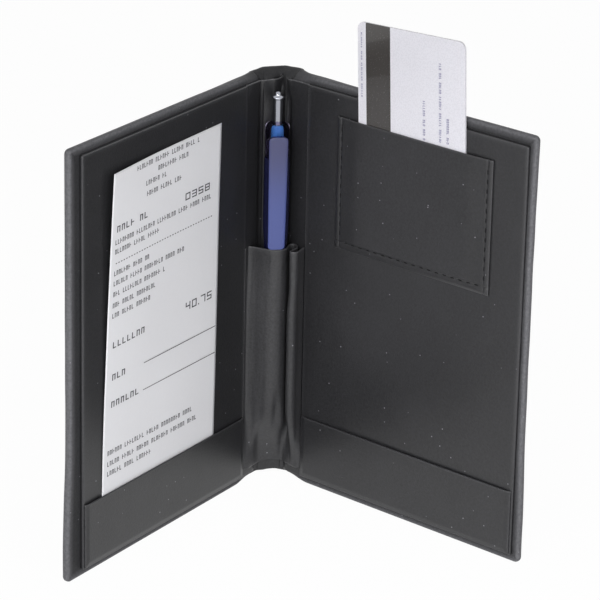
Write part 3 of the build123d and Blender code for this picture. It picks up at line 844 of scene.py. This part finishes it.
turn = np.radians(np.arange(233, 330, 15))
round_pen = np.stack([pen_x + sleeve_radius * np.cos(turn), pen_y + sleeve_radius * np.sin(turn)], -1)
left_fold_line, right_fold_line = on_plan(-1, 0, 0.05), on_plan(1, 0, 0.05)
mouth_left, mouth_middle, mouth_right = split_line([
    left_fold_line,
    *behind((-11.5, 1.6), (-10.6, 2.7), (-9.4, 2.6), (-7.9, 1.8), (-6.4, 0.8), (-5.1, -0.1)),
    *round_pen,
    *behind((5.5, 1.3), (6.2, 3.2), (7.4, 4.4), (8.6, 3.8), (9.0, 2.4), (8.6, 0.4), (7.0, -1.9), (5.6, -3.4)),
    *behind((5.4, -4.7), (6.3, -5.5), (7.6, -5.6), (8.8, -4.9), (9.8, -3.3), (10.8, -1.8)),
    right_fold_line,
], -4.5, 4.6)
waist_left, waist_middle, waist_right = split_line([
    left_fold_line,
    *behind((-11.6, 1.2), (-10.8, 1.8), (-9.3, 1.4), (-7.7, 0.6), (-6.2, -0.3), (-4.6, -1.2), (-3.0, -2.1)),
    *behind((-1.3, -2.6), (0.4, -2.6), (2.2, -2.1), (3.8, -1.2), (4.8, -0.3), (5.5, 1.0), (6.4, 2.2), (7.3, 2.3)),
    *behind((7.8, 1.3), (7.2, -0.6), (5.8, -2.3), (4.9, -3.5), (5.0, -4.9), (6.0, -5.7), (7.3, -5.7), (8.5, -4.9)),
    *behind((9.6, -3.1), (10.8, -1.5)),
    right_fold_line,
], -4.5, 4.6)
foot_left, foot_middle, foot_right = split_line([
    left_fold_line,
    *behind((-10.7, 0.9), (-9.2, 2.1), (-7.6, 4.0), (-6.0, 6.0), (-4.3, 7.3), (-2.0, 7.7), (0.6, 7.7), (3.4, 7.8)),
    *behind((5.3, 7.6), (6.4, 6.4), (7.6, 4.5), (8.8, 2.6), (10.3, 0.8)),
    right_fold_line,
], -4.3, 5.3)
print("plan points round the sleeve:", sum(sleeve_counts))


# %% The sleeve's three lengths
def sleeve_part(name, mouth, waist, foot, crease, **how):
    """plan(z) goes from the mouth's line through the waist's, below 76 mm, to the foot's, below 38 mm, moved
    by soft creases that fade out towards the mouth. One ridge crosses to the left near the foot, with a
    hollow and one pointed tuck beside it; the foot edge arches."""
    top = 104.1
    height = np.concatenate([np.linspace(6.5, 38, 50), np.linspace(38, 103.4, 44)[1:], [103.8, top]])
    high, low = ease((height - 76) / 24)[:, None, None], ease((38 - height) / 31.5)[:, None, None]
    plan = mouth[None] * high + waist[None] * (1 - high) * (1 - low) + foot[None] * low
    steps = np.linalg.norm(np.diff(mouth, axis=0), axis=1)
    across = np.concatenate([[0], np.cumsum(steps)]) / steps.sum()
    way = np.gradient(plan, axis=1)
    way /= np.maximum(np.linalg.norm(way, axis=2, keepdims=True), 1e-9)
    normal = np.stack([way[..., 1], -way[..., 0]], -1)
    hold = np.sin(np.pi * across)[None] ** 0.7
    fade = ease((62 - height) / 50)[:, None]
    z = np.broadcast_to(height[:, None], plan.shape[:2])
    waves = np.sin(across * 9 + z * 0.05) + 0.6 * ripple(across * 30, z * 0.4, 12, 29)
    fine = 0.05 * ripple(across * 40, z * 0.3, 14, 31)
    plan = plan + normal * ((crease * waves * fade + fine) * hold)[..., None]
    x, ends = plan[..., 0], np.clip((11.2 - np.abs(plan[..., 0])) / 3, 0, 1)
    crest = np.interp(z, [8, 22, 30, 36, 46], [-9.5, -7.0, -4.2, -2.4, -0.9])
    ridge = near(x - crest, 2.2) * ease((37 - z) / 12)
    hollow = near(x - 1.6, 1.9) * np.interp(z, [22, 27, 31, 34.5, 38, 46], [0, 0.7, 0.8, 1.0, 0.7, 0])
    tuck = near(x - 5.2, 0.5 + 1.3 * ease((30 - z) / 20)) * ease((30 - z) / 8)
    plan[..., 1] += (0.5 * tuck + hollow - 0.75 * ridge) * ends
    z = z + 1.1 * near(x - 0.6, 4.5) * ease((14 - z) / 7.5)
    points, edge = np.concatenate([plan, z[..., None]], -1), near(top - z, 0.5)
    part = skin_mesh(name, points, grid_faces(*z.shape), look=(0, -1, 0), masks={"edge": edge.ravel()})
    thicken(part, liner_sheet, even=False)
    return dress(part, sleeve_leatherette, "liner_leatherette", **how)


front = sleeve_part(
    "sleeve_front", mouth_middle, waist_middle, foot_middle, 0.08, body="spine", stands_for=["pen_sleeve"]
)
left_wing = sleeve_part(
    "sleeve_wing_sheet", mouth_left, waist_left, foot_left, 0.1, stands_for=["sleeve_left_wing"]
)
right_pleat = sleeve_part(
    "sleeve_pleat_sheet", mouth_right, waist_right, foot_right, 0.16, stands_for=["sleeve_right_pleat"]
)
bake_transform(left_wing)
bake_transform(right_pleat)
print("sleeve parts:", [part.name for part in (left_wing, front, right_pleat)])

# %% [markdown]
# ## The click pen
# Every visible part of the pen but its clip is turned: a short profile of radius and height, spun round the
# axis. Rounded corners come from putting points close together where the moulding curves.

# %% Plastics and chrome
def speckled(name, colour, amount=0.06, scale=700.0, bump=0.0, **settings):
    """A moulded or plated surface: its colour and gloss vary slightly, with optional fine texture."""
    material, tree, shader = plain_material(name, **settings)
    cloud = own_texture(tree, "TexNoise", Scale=scale, Detail=2.0).outputs["Fac"]
    dark = tuple(c * (1 - 2 * amount) for c in colour[:3]) + (1.0,)
    tree.links.new(mix_colour(tree, cloud, dark, colour), shader.inputs["Base Color"])
    rough = settings["Roughness"]
    tree.links.new(remap(tree, cloud, 0.3, 0.7, rough * 0.85, rough * 1.15), shader.inputs["Roughness"])
    if bump:
        emboss(tree, shader, cloud, bump, 0.00005)
    return material


navy = speckled("navy barrel plastic", rgb(24, 26, 62), Roughness=0.22, Coat_Weight=0.3, scale=260.0)
cap_blue = speckled(
    "clear violet cap plastic", rgb(190, 182, 214), Roughness=0.08, IOR=1.1, Transmission_Weight=1.0, scale=200.0
)
sky = speckled("light blue collar plastic", rgb(116, 214, 255), Roughness=0.15, Coat_Weight=0.5, scale=300.0)
root_blue = speckled("deep blue clip root", rgb(44, 66, 150), Roughness=0.3, scale=400.0)
frosted, tree, shader = plain_material("frosted clip plastic", Roughness=0.42, Coat_Weight=0.12)
fine = own_texture(tree, "TexNoise", Scale=2600.0, Detail=2.0).outputs["Fac"]
upper = remap(tree, node(tree, "Attribute", attribute_name="level").outputs["Fac"], 0.3, 0.95)
shade = mix_colour(tree, upper, rgb(72, 84, 144), rgb(66, 68, 106))
shade = mix_colour(tree, math(tree, "MULTIPLY", fine, 0.15), shade, rgb(40, 44, 90))
tree.links.new(shade, shader.inputs["Base Color"])
emboss(tree, shader, fine, 0.25, 0.00005)
chrome = speckled("chrome", rgb(166, 168, 176), Metallic=1.0, Roughness=0.1, amount=0.03, scale=150.0)
milky = speckled("moulded white plastic", rgb(205, 205, 200), Roughness=0.4, bump=0.1)
steel = speckled("spring steel", rgb(170, 172, 176), Metallic=1.0, Roughness=0.3)
pen_finishes = (navy, cap_blue, sky, root_blue, frosted, chrome, milky, steel)
print("pen finishes:", len(pen_finishes))


# %% Turned pieces
def turned(name, profile, material, slot, body, stands_for, count=56):
    """Each profile point (radius, height) becomes a ring; a radius of nearly 0 closes the end."""
    p = np.asarray(profile, float)
    angle = np.linspace(0, 2 * np.pi, count, endpoint=False)
    x = pen_x + p[:, :1] * np.cos(angle)
    y = pen_y + p[:, :1] * np.sin(angle)
    points = np.stack([x, y, np.broadcast_to(p[:, 1:], x.shape)], -1)
    closed = bool(np.allclose(p[0], p[-1]))
    if closed:
        points = points[:-1]
    piece = skin_mesh(name, points, grid_faces(*points.shape[:2], wrap_rows=closed, wrap_columns=True))
    return dress(piece, material, slot, body, [stands_for])


bow = np.linspace(0.12, np.pi / 2, 12)
dome = np.stack([1.5 * np.cos(bow), 167.85 + 1.65 * np.sin(bow)], -1)
dome[-1, 0] = 0.0
plunger = [
    (0, 141), (1.9, 141), (2.0, 141.2), (2.0, 166.3), (2.03, 166.55), (2.3, 166.66), (2.52, 166.8), (2.6, 167.05),
    (2.56, 167.35), (2.35, 167.6), (2.1, 167.75), *dome,
]
cap = [
    (4.12, 142.35), (4.8, 142.35), (4.9, 142.45), (4.9, 154.9), (4.82, 155.4), (4.6, 155.8), (4.3, 156.08),
    (3.9, 156.2), (2.75, 156.2), (2.65, 156.1), (2.65, 150.3), (2.72, 150.15), (4.0, 149.1), (4.12, 148.8),
    (4.12, 142.35),
]
collar = [
    (2.1, 150.4), (2.5, 150.4), (2.6, 150.5), (2.6, 155.2), (2.5, 155.4), (2.15, 155.4), (2.1, 155.3), (2.1, 150.4),
]
barrel = [
    (3.4, 45.0), (4.0, 45.0), (4.1, 45.15), (4.3, 52), (4.45, 57), (4.5, 60), (4.5, 103.5), (4.58, 104.6),
    (5.12, 111.6), (5.2, 113.2), (5.2, 138.3), (5.16, 139.6), (5.03, 142.0), (4.88, 142.3), (2.95, 142.3),
    (2.9, 142.1), (2.9, 138.3), (3.4, 136.3), (3.4, 45.0),
]
nose = [
    (0.75, 27.2), (0.85, 27.1), (1.15, 27.1), (1.3, 27.3), (2.0, 30.1), (3.0, 35.4), (3.75, 40.6), (3.95, 44.8),
    (3.9, 45.0), (2.6, 45.0), (2.6, 36.1), (0.75, 33.1), (0.75, 27.2),
]
turned("plunger_chrome", plunger, chrome, "chrome", "plunger", "pen_plunger")
turned("pen_cap_shell", cap, cap_blue, "navy_plastic", "pen", "pen_cap")
turned("pen_collar_ring", collar, sky, "blue_collar", "pen", "pen_collar")
turned("pen_barrel_shell", barrel, navy, "navy_plastic", "pen", "pen_barrel")
turned("pen_nose_cone", nose, chrome, "chrome", "pen", "pen_nose")
print("profile points:", [len(profile) for profile in (plunger, cap, collar, barrel, nose)])

# %% [markdown]
# The return spring is a wire wound round the refill. Its foot rests on the nose and its top on the refill's shoulder.

# %% The spring
turns, steps_a_turn, wire_sides = 12, 24, 6
coil_radius, wire_radius, coil_foot, coil_height = 1.75, 0.2, 36.6, 21.6
wound = np.linspace(0, turns * 2 * np.pi, turns * steps_a_turn + 1)[:, None]
wire = np.linspace(0, 2 * np.pi, wire_sides, endpoint=False)[None]
from_axis = coil_radius + wire_radius * np.cos(wire)
climb = coil_foot + coil_height * wound / wound.max() + wire_radius * np.sin(wire)
coil = np.stack([pen_x + from_axis * np.cos(wound), pen_y + from_axis * np.sin(wound), climb], -1)
spring = skin_mesh("return_spring", coil, grid_faces(len(wound), wire_sides, wrap_columns=True), merge=False)
dress(spring, steel, "spring_steel", stands_for=["pen_spring"])
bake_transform(spring)
print("spring faces:", len(spring.data.polygons))

# %% [markdown]
# The clip is a flat tongue of frosted plastic, slightly crowned across, with an arched head and a narrower
# rounded tip. Its two edges are functions of height, and the crown and thickness are set across it.

# %% The clip
def boxed(wave, power):
    """sign * |wave|^power turns a circle's sine or cosine towards a rounded box's."""
    return np.sign(wave) * np.abs(wave) ** power


def corner_cut(distance, reach):
    """How much a quarter circle of this reach takes off an edge, at a distance from its end; 0 to 1."""
    return 1 - np.sqrt(np.clip(1 - (1 - distance / reach).clip(0) ** 2, 0, 1))


clip_top, clip_foot, clip_front = 152.3, 104.9, fold_y - 4.3
clip_rings, clip_sides = 70, 36
share = np.linspace(0, 1, clip_rings)
z = clip_foot + (clip_top - clip_foot) * (0.5 - 0.5 * np.cos(np.pi * share)) ** 0.9
level = (z - clip_foot) / (clip_top - clip_foot)
rounded_head, rounded_tip = 1.8 * corner_cut(clip_top - z, 1.8), 0.9 * corner_cut(z - clip_foot, 1.5)
left_edge = -3.88 - 0.2 * level + rounded_head
right_edge = 2.85 + 0.85 * level**0.7 - rounded_head
middle, half = (left_edge + right_edge) / 2, (right_edge - left_edge) / 2 - rounded_tip
ring = np.linspace(0, 2 * np.pi, clip_sides, endpoint=False)
x = pen_x + middle[:, None] + half[:, None] * boxed(np.cos(ring), 0.5)
crown = 0.14 * np.cos(ring) ** 2
y = clip_front + 0.65 + crown + 0.5 * boxed(np.sin(ring), 0.75) + 0 * z[:, None]
points = np.stack([x, y, np.broadcast_to(z[:, None], x.shape)], -1)
clip = skin_mesh(
    "pen_clip_tongue", points, capped_tube(clip_rings, clip_sides), merge=False,
    masks={"level": np.repeat(level, clip_sides)},
)
dress(clip, frosted, "frosted_clip", "pen", ["pen_clip"])

root_sides = 24
ring = np.linspace(0, 2 * np.pi, root_sides, endpoint=False)
depth = np.array([0.9, 1.4, 1.9, 2.5, 3.0])[:, None]
width = np.array([2.6, 2.55, 2.5, 2.55, 2.6])[:, None]
x = pen_x + width * boxed(np.cos(ring), 0.5)
z = 151.3 + 0.8 * boxed(np.sin(ring), 0.5) + 0 * depth
points = np.stack([x, clip_front + depth + 0 * x, z], -1)
root = skin_mesh("pen_clip_root", points, capped_tube(len(depth), root_sides), merge=False)
dress(root, root_blue, "frosted_clip", "pen")
print("clip faces:", len(clip.data.polygons))

# %% [markdown]
# ## The payment card
# The card keeps its solid, whose shape is right, and gets a clear laminate over white plastic. Its dark
# magnetic stripe is a thin strip of tape, and a few rows of plain ticks, drawn as flat marks, stand for the
# small print of any card.

# %% Card finishes
card_white = speckled(
    "laminated card", rgb(224, 223, 230), Roughness=0.28, Coat_Weight=0.35, scale=1800.0, amount=0.004
)
stripe_dark = speckled(
    "magnetic stripe", rgb(62, 59, 57), Roughness=0.24, Coat_Weight=0.5, scale=1800.0, amount=0.03
)
print("card finishes:", card_white.name, "and", stripe_dark.name)

# %% [markdown]
# ## The paper check
# Receipt paper keeps the curl of its roll: it lies flat in the pocket and lifts towards its outer top corner.
# Its surface is a function of the share across and the share up, and the print uses the same function, so
# every mark lies on the paper however it bends.

# %% Paper
check_width, check_foot, check_top, check_start = 76.2, 4.8, 162.5, 22.4


def paper(across, up, above=0.0):
    """along = start + across * width, leaning back by 1.3 degrees; proud = 0.3 + waves + a lift that grows
    outwards with across^2 and from a fifth of the way up."""
    z = check_foot + up * (check_top - check_foot)
    start = check_start - (z - check_foot) * np.sin(np.radians(1.3))
    lift = 3.6 * np.clip(up - 0.2, 0, None) ** 1.5 / 0.8**1.5
    clear = ease((z - 32) / 22)
    wave = 0.22 * ripple(across * 76, z, 58, 41) * clear
    proud = 0.3 + lift * (0.15 * across + 0.85 * across**2) + np.maximum(wave, -0.1) + above
    return on_cover(-1, start + across * check_width, z, proud)


paper_white, tree, shader = plain_material("receipt paper", Roughness=0.72, Specular_IOR_Level=0.3)
fibre = own_texture(tree, "TexNoise", Scale=900.0, Detail=4.0).outputs["Fac"]
cloud = own_texture(tree, "TexNoise", Scale=22.0, Detail=1.0).outputs["Fac"]
toned = mix_colour(tree, cloud, rgb(229, 229, 232), rgb(236, 236, 239))
toned = mix_colour(tree, math(tree, "MULTIPLY", fibre, 0.12), toned, rgb(200, 200, 206))
tree.links.new(toned, shader.inputs["Base Color"])
emboss(tree, shader, fibre, 0.12, 0.0001)
across, up = np.meshgrid(np.linspace(0, 1, 60), np.linspace(0, 1, 110), indexing="ij")
slip = skin_mesh("check_slip", paper(across, up), grid_faces(*across.shape), look=cover_front(-1))
thicken(slip, 0.1)
dress(slip, paper_white, "check_paper", "check", ["paper_check"])
print(slip.name)

# %% [markdown]
# Rows of short ticks in word lengths read as small print from arm's length, with a dashed rule, two blanks to
# fill in and two plain numbers in block digits, all made of thin flat strokes that follow the paper.

# %% Print made of flat strokes
def strokes(boxes, surface, above):
    """Each box (left, foot, right, top), in shares of the sheet, becomes one flat patch of 4 points."""
    b = np.asarray(boxes, float)
    a = np.stack([b[:, 0], b[:, 2], b[:, 2], b[:, 0]], 1)
    u = np.stack([b[:, 1], b[:, 1], b[:, 3], b[:, 3]], 1)
    return surface(a, u, above), np.arange(len(b) * 4).reshape(-1, 4)


def tick_row(left, right, middle, rng, tall=0.0125, pitch=0.0215):
    """Word-like groups of upright ticks with a low or high bar here and there."""
    x, boxes, letters = left, [], rng.integers(3, 9)
    while x < right:
        if letters == 0:
            x += pitch
            letters = rng.integers(3, 9)
            continue
        kind = rng.integers(0, 4)
        thin = min(pitch * 0.24, 0.0085)
        boxes.append((x, middle - tall / 2, x + thin, middle + tall / 2))
        level = (-0.5, -0.1, 0.3, 0.3)[kind]
        boxes.append((x, middle + level * tall, x + pitch * 0.68, middle + (level + 0.17) * tall))
        if kind > 1:
            boxes.append((x + pitch * 0.68 - thin, middle - tall / 2, x + pitch * 0.68, middle + tall * 0.4))
        x, letters = x + pitch, letters - 1
    return boxes


def dash_row(left, right, middle, pitch=0.0235):
    """A dashed rule: one flat dash in each pitch."""
    x = np.arange(left, right, pitch)
    return np.stack([x, x * 0 + middle - 0.0012, x + pitch * 0.52, x * 0 + middle + 0.0012], -1).tolist()


segments = {"0": "abcdef", "3": "abgcd", "4": "fgbc", "5": "afgcd", "7": "abc", "8": "abcdefg"}


def block_digits(text, left, middle, wide, tall):
    """Plain numbers of up to seven bars each, as on a till's display: a is the top bar, b to f go on round
    it clockwise, and g crosses the middle."""
    boxes, bar = [], 0.008
    for mark in text:
        low, high = middle - tall / 2, middle + tall / 2
        if mark == ".":
            boxes.append((left, low, left + bar, low + 0.004))
            left += wide * 0.55
            continue
        places = {
            "a": (left, high - 0.0032, left + wide, high), "d": (left, low, left + wide, low + 0.0032),
            "g": (left, middle - 0.0016, left + wide, middle + 0.0016), "f": (left, middle, left + bar, high),
            "b": (left + wide - bar, middle, left + wide, high), "e": (left, low, left + bar, middle),
            "c": (left + wide - bar, low, left + wide, middle),
        }
        boxes += [places[s] for s in segments[mark]]
        left += wide * 1.35
    return boxes


rng = np.random.default_rng(8)
rows = [
    (0.22, 0.8, 0.984), (0.42, 0.69, 0.959), (0.31, 0.49, 0.934), (0.32, 0.64, 0.906), (0.04, 0.91, 0.82),
    (0.04, 0.43, 0.796), (0.04, 0.35, 0.74), (0.04, 0.67, 0.714), (0.04, 0.5, 0.686), (0.04, 0.41, 0.657),
    (0.04, 0.38, 0.63), (0.04, 0.78, 0.268), (0.04, 0.83, 0.239), (0.04, 0.41, 0.213),
]
labels = [(0.05, 0.32, 0.853), (0.055, 0.32, 0.552), (0.06, 0.2, 0.467), (0.06, 0.28, 0.395)]
marks = [box for left, right, middle in rows for box in tick_row(left, right, middle, rng)]
for left, right, middle in labels:
    marks += tick_row(left, right, middle, rng, tall=0.0165, pitch=0.042)
marks += dash_row(0.05, 0.94, 0.765)
marks += [(0.34, 0.461, 0.99, 0.463), (0.34, 0.389, 0.99, 0.391)]
marks += block_digits("0358", 0.68, 0.848, wide=0.044, tall=0.0185)
marks += block_digits("40.75", 0.71, 0.554, wide=0.042, tall=0.021)
ink, tree, shader = plain_material("grey till ink", Roughness=0.7)
faded = own_texture(tree, "TexNoise", Scale=700.0, Detail=2.0).outputs["Fac"]
tree.links.new(mix_colour(tree, faded, rgb(44, 44, 50), rgb(98, 98, 104)), shader.inputs["Base Color"])
points, faces = strokes(marks, lambda a, u, above: paper(1 - a, u, above), 0.05)
printed = skin_mesh("check_print", points, faces, look=cover_front(-1), merge=False)
dress(printed, ink, "check_paper", "check")
print("printed strokes:", len(marks))

# %% Ticks and stripe on the card
card_width, card_length, card_lean = 54.0, 85.6, np.radians(2.7)
card_middle, card_top, card_proud = 52.7, 206.2, 0.2 + 0.76


def card_face(a, u, above):
    """a is the share across from the stripe side, u the share down from the top edge; the card leans."""
    x, z = (a - 0.5) * card_width, -u * card_length
    along = card_middle + x * np.cos(card_lean) - z * np.sin(card_lean)
    height = card_top + x * np.sin(card_lean) + z * np.cos(card_lean)
    return on_cover(1, along, height, card_proud + above)


def turn_row(boxes):
    """Lays a row of ticks along the card's length, as its small print runs."""
    return [(foot, left, top, right) for left, foot, right, top in boxes]


card_rows = [
    (0.035, 0.05, 0.36, 0.013), (0.62, 0.31, 0.49, 0.022), (0.77, 0.12, 0.5, 0.022), (0.84, 0.37, 0.5, 0.022),
]
small = []
for across, start, end, tall in card_rows:
    small += turn_row(tick_row(start, end, across, rng, tall=tall, pitch=0.011))
points, faces = strokes(small, card_face, 0.03)
card_marks = skin_mesh("card_small_print", points, faces, look=cover_front(1), merge=False)
violet_ink = speckled("faded violet ink", rgb(118, 114, 158), Roughness=0.5, scale=500.0)
dress(card_marks, violet_ink, "card_plastic", "card")

inset, wide = 4.15 / card_width, 12.4 / card_width
corners = [card_face(a, u, p) for p in (0.03, -0.03) for u in (0.0, 1.0) for a in (inset, inset + wide)]
stripe = flat_box("card_stripe_tape", corners)
dress(stripe, stripe_dark, "magnetic_stripe", "card", ["card_stripe"])
print("card ticks:", len(small))

# %% [markdown]
# ## The solids that stay
# The spine's board and the filler cards are hidden inside the covers, and the refill and cam inside
# the pen. The payment card shows. They keep their own solids and only get a finish. The two cover boards
# are plain boxes here, shorter towards the hinge, which leaves the soft leatherette its room.

# %% Dress the remaining solids
board_grey, tree, shader = plain_material("binder's greyboard", Roughness=0.85)
flecks = own_texture(tree, "TexNoise", Scale=1200.0, Detail=3.0).outputs["Fac"]
tree.links.new(mix_colour(tree, flecks, rgb(128, 122, 112), rgb(170, 164, 152)), shader.inputs["Base Color"])
for side, hand in sides:
    corners = np.array([(a, h, p) for p in (-2.05, -3.85) for h in (0.9, 175.1) for a in (3.0, 112.6)])
    box = flat_box(f"{hand}_greyboard", on_cover(side, *corners.T))
    dress(box, board_grey, "greyboard", f"{hand}_cover", [f"{hand}_board"])
kept = {
    "spine_board": board_grey, "left_filler_card": board_grey,
    "right_filler_card": board_grey, "pen_cam": milky, "pen_refill": milky,
    "payment_card": card_white,
}
for name, material in kept.items():
    nodes[name].data.materials.clear()
    nodes[name].data.materials.append(material)
print("solids kept:", len(kept))

# %% [markdown]
# ## Studio
# The folder stands on a plain white floor under broad soft light, as in a product photograph. The floor is
# white to the camera and in reflections, and still takes a faint shadow from the folder.

# %% Floor
floor_reach = 4000
floor_points = [[[x, y, 0] for x in (-floor_reach, floor_reach)] for y in (-floor_reach, floor_reach)]
floor = skin_mesh("studio_floor", floor_points, grid_faces(2, 2), look=(0, 0, 1))
white, tree, shader = plain_material("studio white", Base_Color=rgb(246, 246, 247), Roughness=0.9)
glow = node(tree, "Emission", Color=(1, 1, 1, 1), Strength=1.0)
mixed = node(tree, "MixShader")
tree.links.new(math(tree, "MULTIPLY", seen_directly(tree), 0.975), mixed.inputs[0])
tree.links.new(shader.outputs[0], mixed.inputs[1])
tree.links.new(glow.outputs[0], mixed.inputs[2])
tree.links.new(mixed.outputs[0], tree.nodes["Material Output"].inputs["Surface"])
floor.data.materials.append(white)

# %% Lights
world = bpy.data.worlds.new("studio")
bpy.context.scene.world = world
world.use_nodes = True
tree = world.node_tree
sky_light = tree.nodes["Background"]
sky_light.inputs["Color"].default_value = (1, 1, 1, 1)
tree.links.new(remap(tree, seen_directly(tree), 0.0, 1.0, 0.2, 1.0), sky_light.inputs["Strength"])


def soft_box(name, place, aim, size, watts):
    """A square lamp at a place (m) turned to look at a point."""
    lamp = bpy.data.lights.new(name, "AREA")
    lamp.shape, lamp.size, lamp.energy = "SQUARE", size, watts
    holder = bpy.data.objects.new(name, lamp)
    bpy.context.scene.collection.objects.link(holder)
    holder.location = place
    holder.rotation_euler = (Vector(aim) - Vector(place)).to_track_quat("-Z", "Y").to_euler()
    return holder


lamps = [
    soft_box("key", (-0.8, -1.15, 0.75), (0, 0, 0.08), 0.7, 7.4),
    soft_box("front", (-0.15, -1.5, 0.45), (0, 0, 0.08), 0.8, 2.6),
    soft_box("over the floor", (0.05, -0.55, 0.24), (0.05, -0.5, 0), 0.5, 2.6),
]
print("lamps:", len(lamps))

# %% [markdown]
# ## Camera
# The camera was worked out from the photograph: points of known shape on the folder fix its place, its
# turn, its tilt and a small roll. A long lens at 1.4 m gives the flat perspective of a product picture.

# %% Camera
azimuth, elevation, roll = np.radians([-7.92, 20.82, 1.26])
back = np.array([np.sin(azimuth) * np.cos(elevation), -np.cos(azimuth) * np.cos(elevation), np.sin(elevation)])
target, distance = np.array([10.62, 34.80, 81.34]) * MM, 1.40083
place = target + back * distance
right = np.cross(-back, [0, 0, 1])
right /= np.linalg.norm(right)
above = np.cross(right, -back)
turned_right = np.cos(roll) * right + np.sin(roll) * above
turned_up = -np.sin(roll) * right + np.cos(roll) * above
lens = bpy.data.cameras.new("photo camera")
lens.lens, lens.sensor_width, lens.sensor_fit, lens.clip_start = 206.36, 36.0, "HORIZONTAL", 0.01
camera = bpy.data.objects.new("photo camera", lens)
bpy.context.scene.collection.objects.link(camera)
pose = np.eye(4)
pose[:3, 0], pose[:3, 1], pose[:3, 2], pose[:3, 3] = turned_right, turned_up, back, place
camera.matrix_world = Matrix(pose.tolist())
bpy.context.scene.camera = camera
bpy.context.scene.view_settings.view_transform = "Standard"
print("camera at", [round(float(v), 3) for v in place])
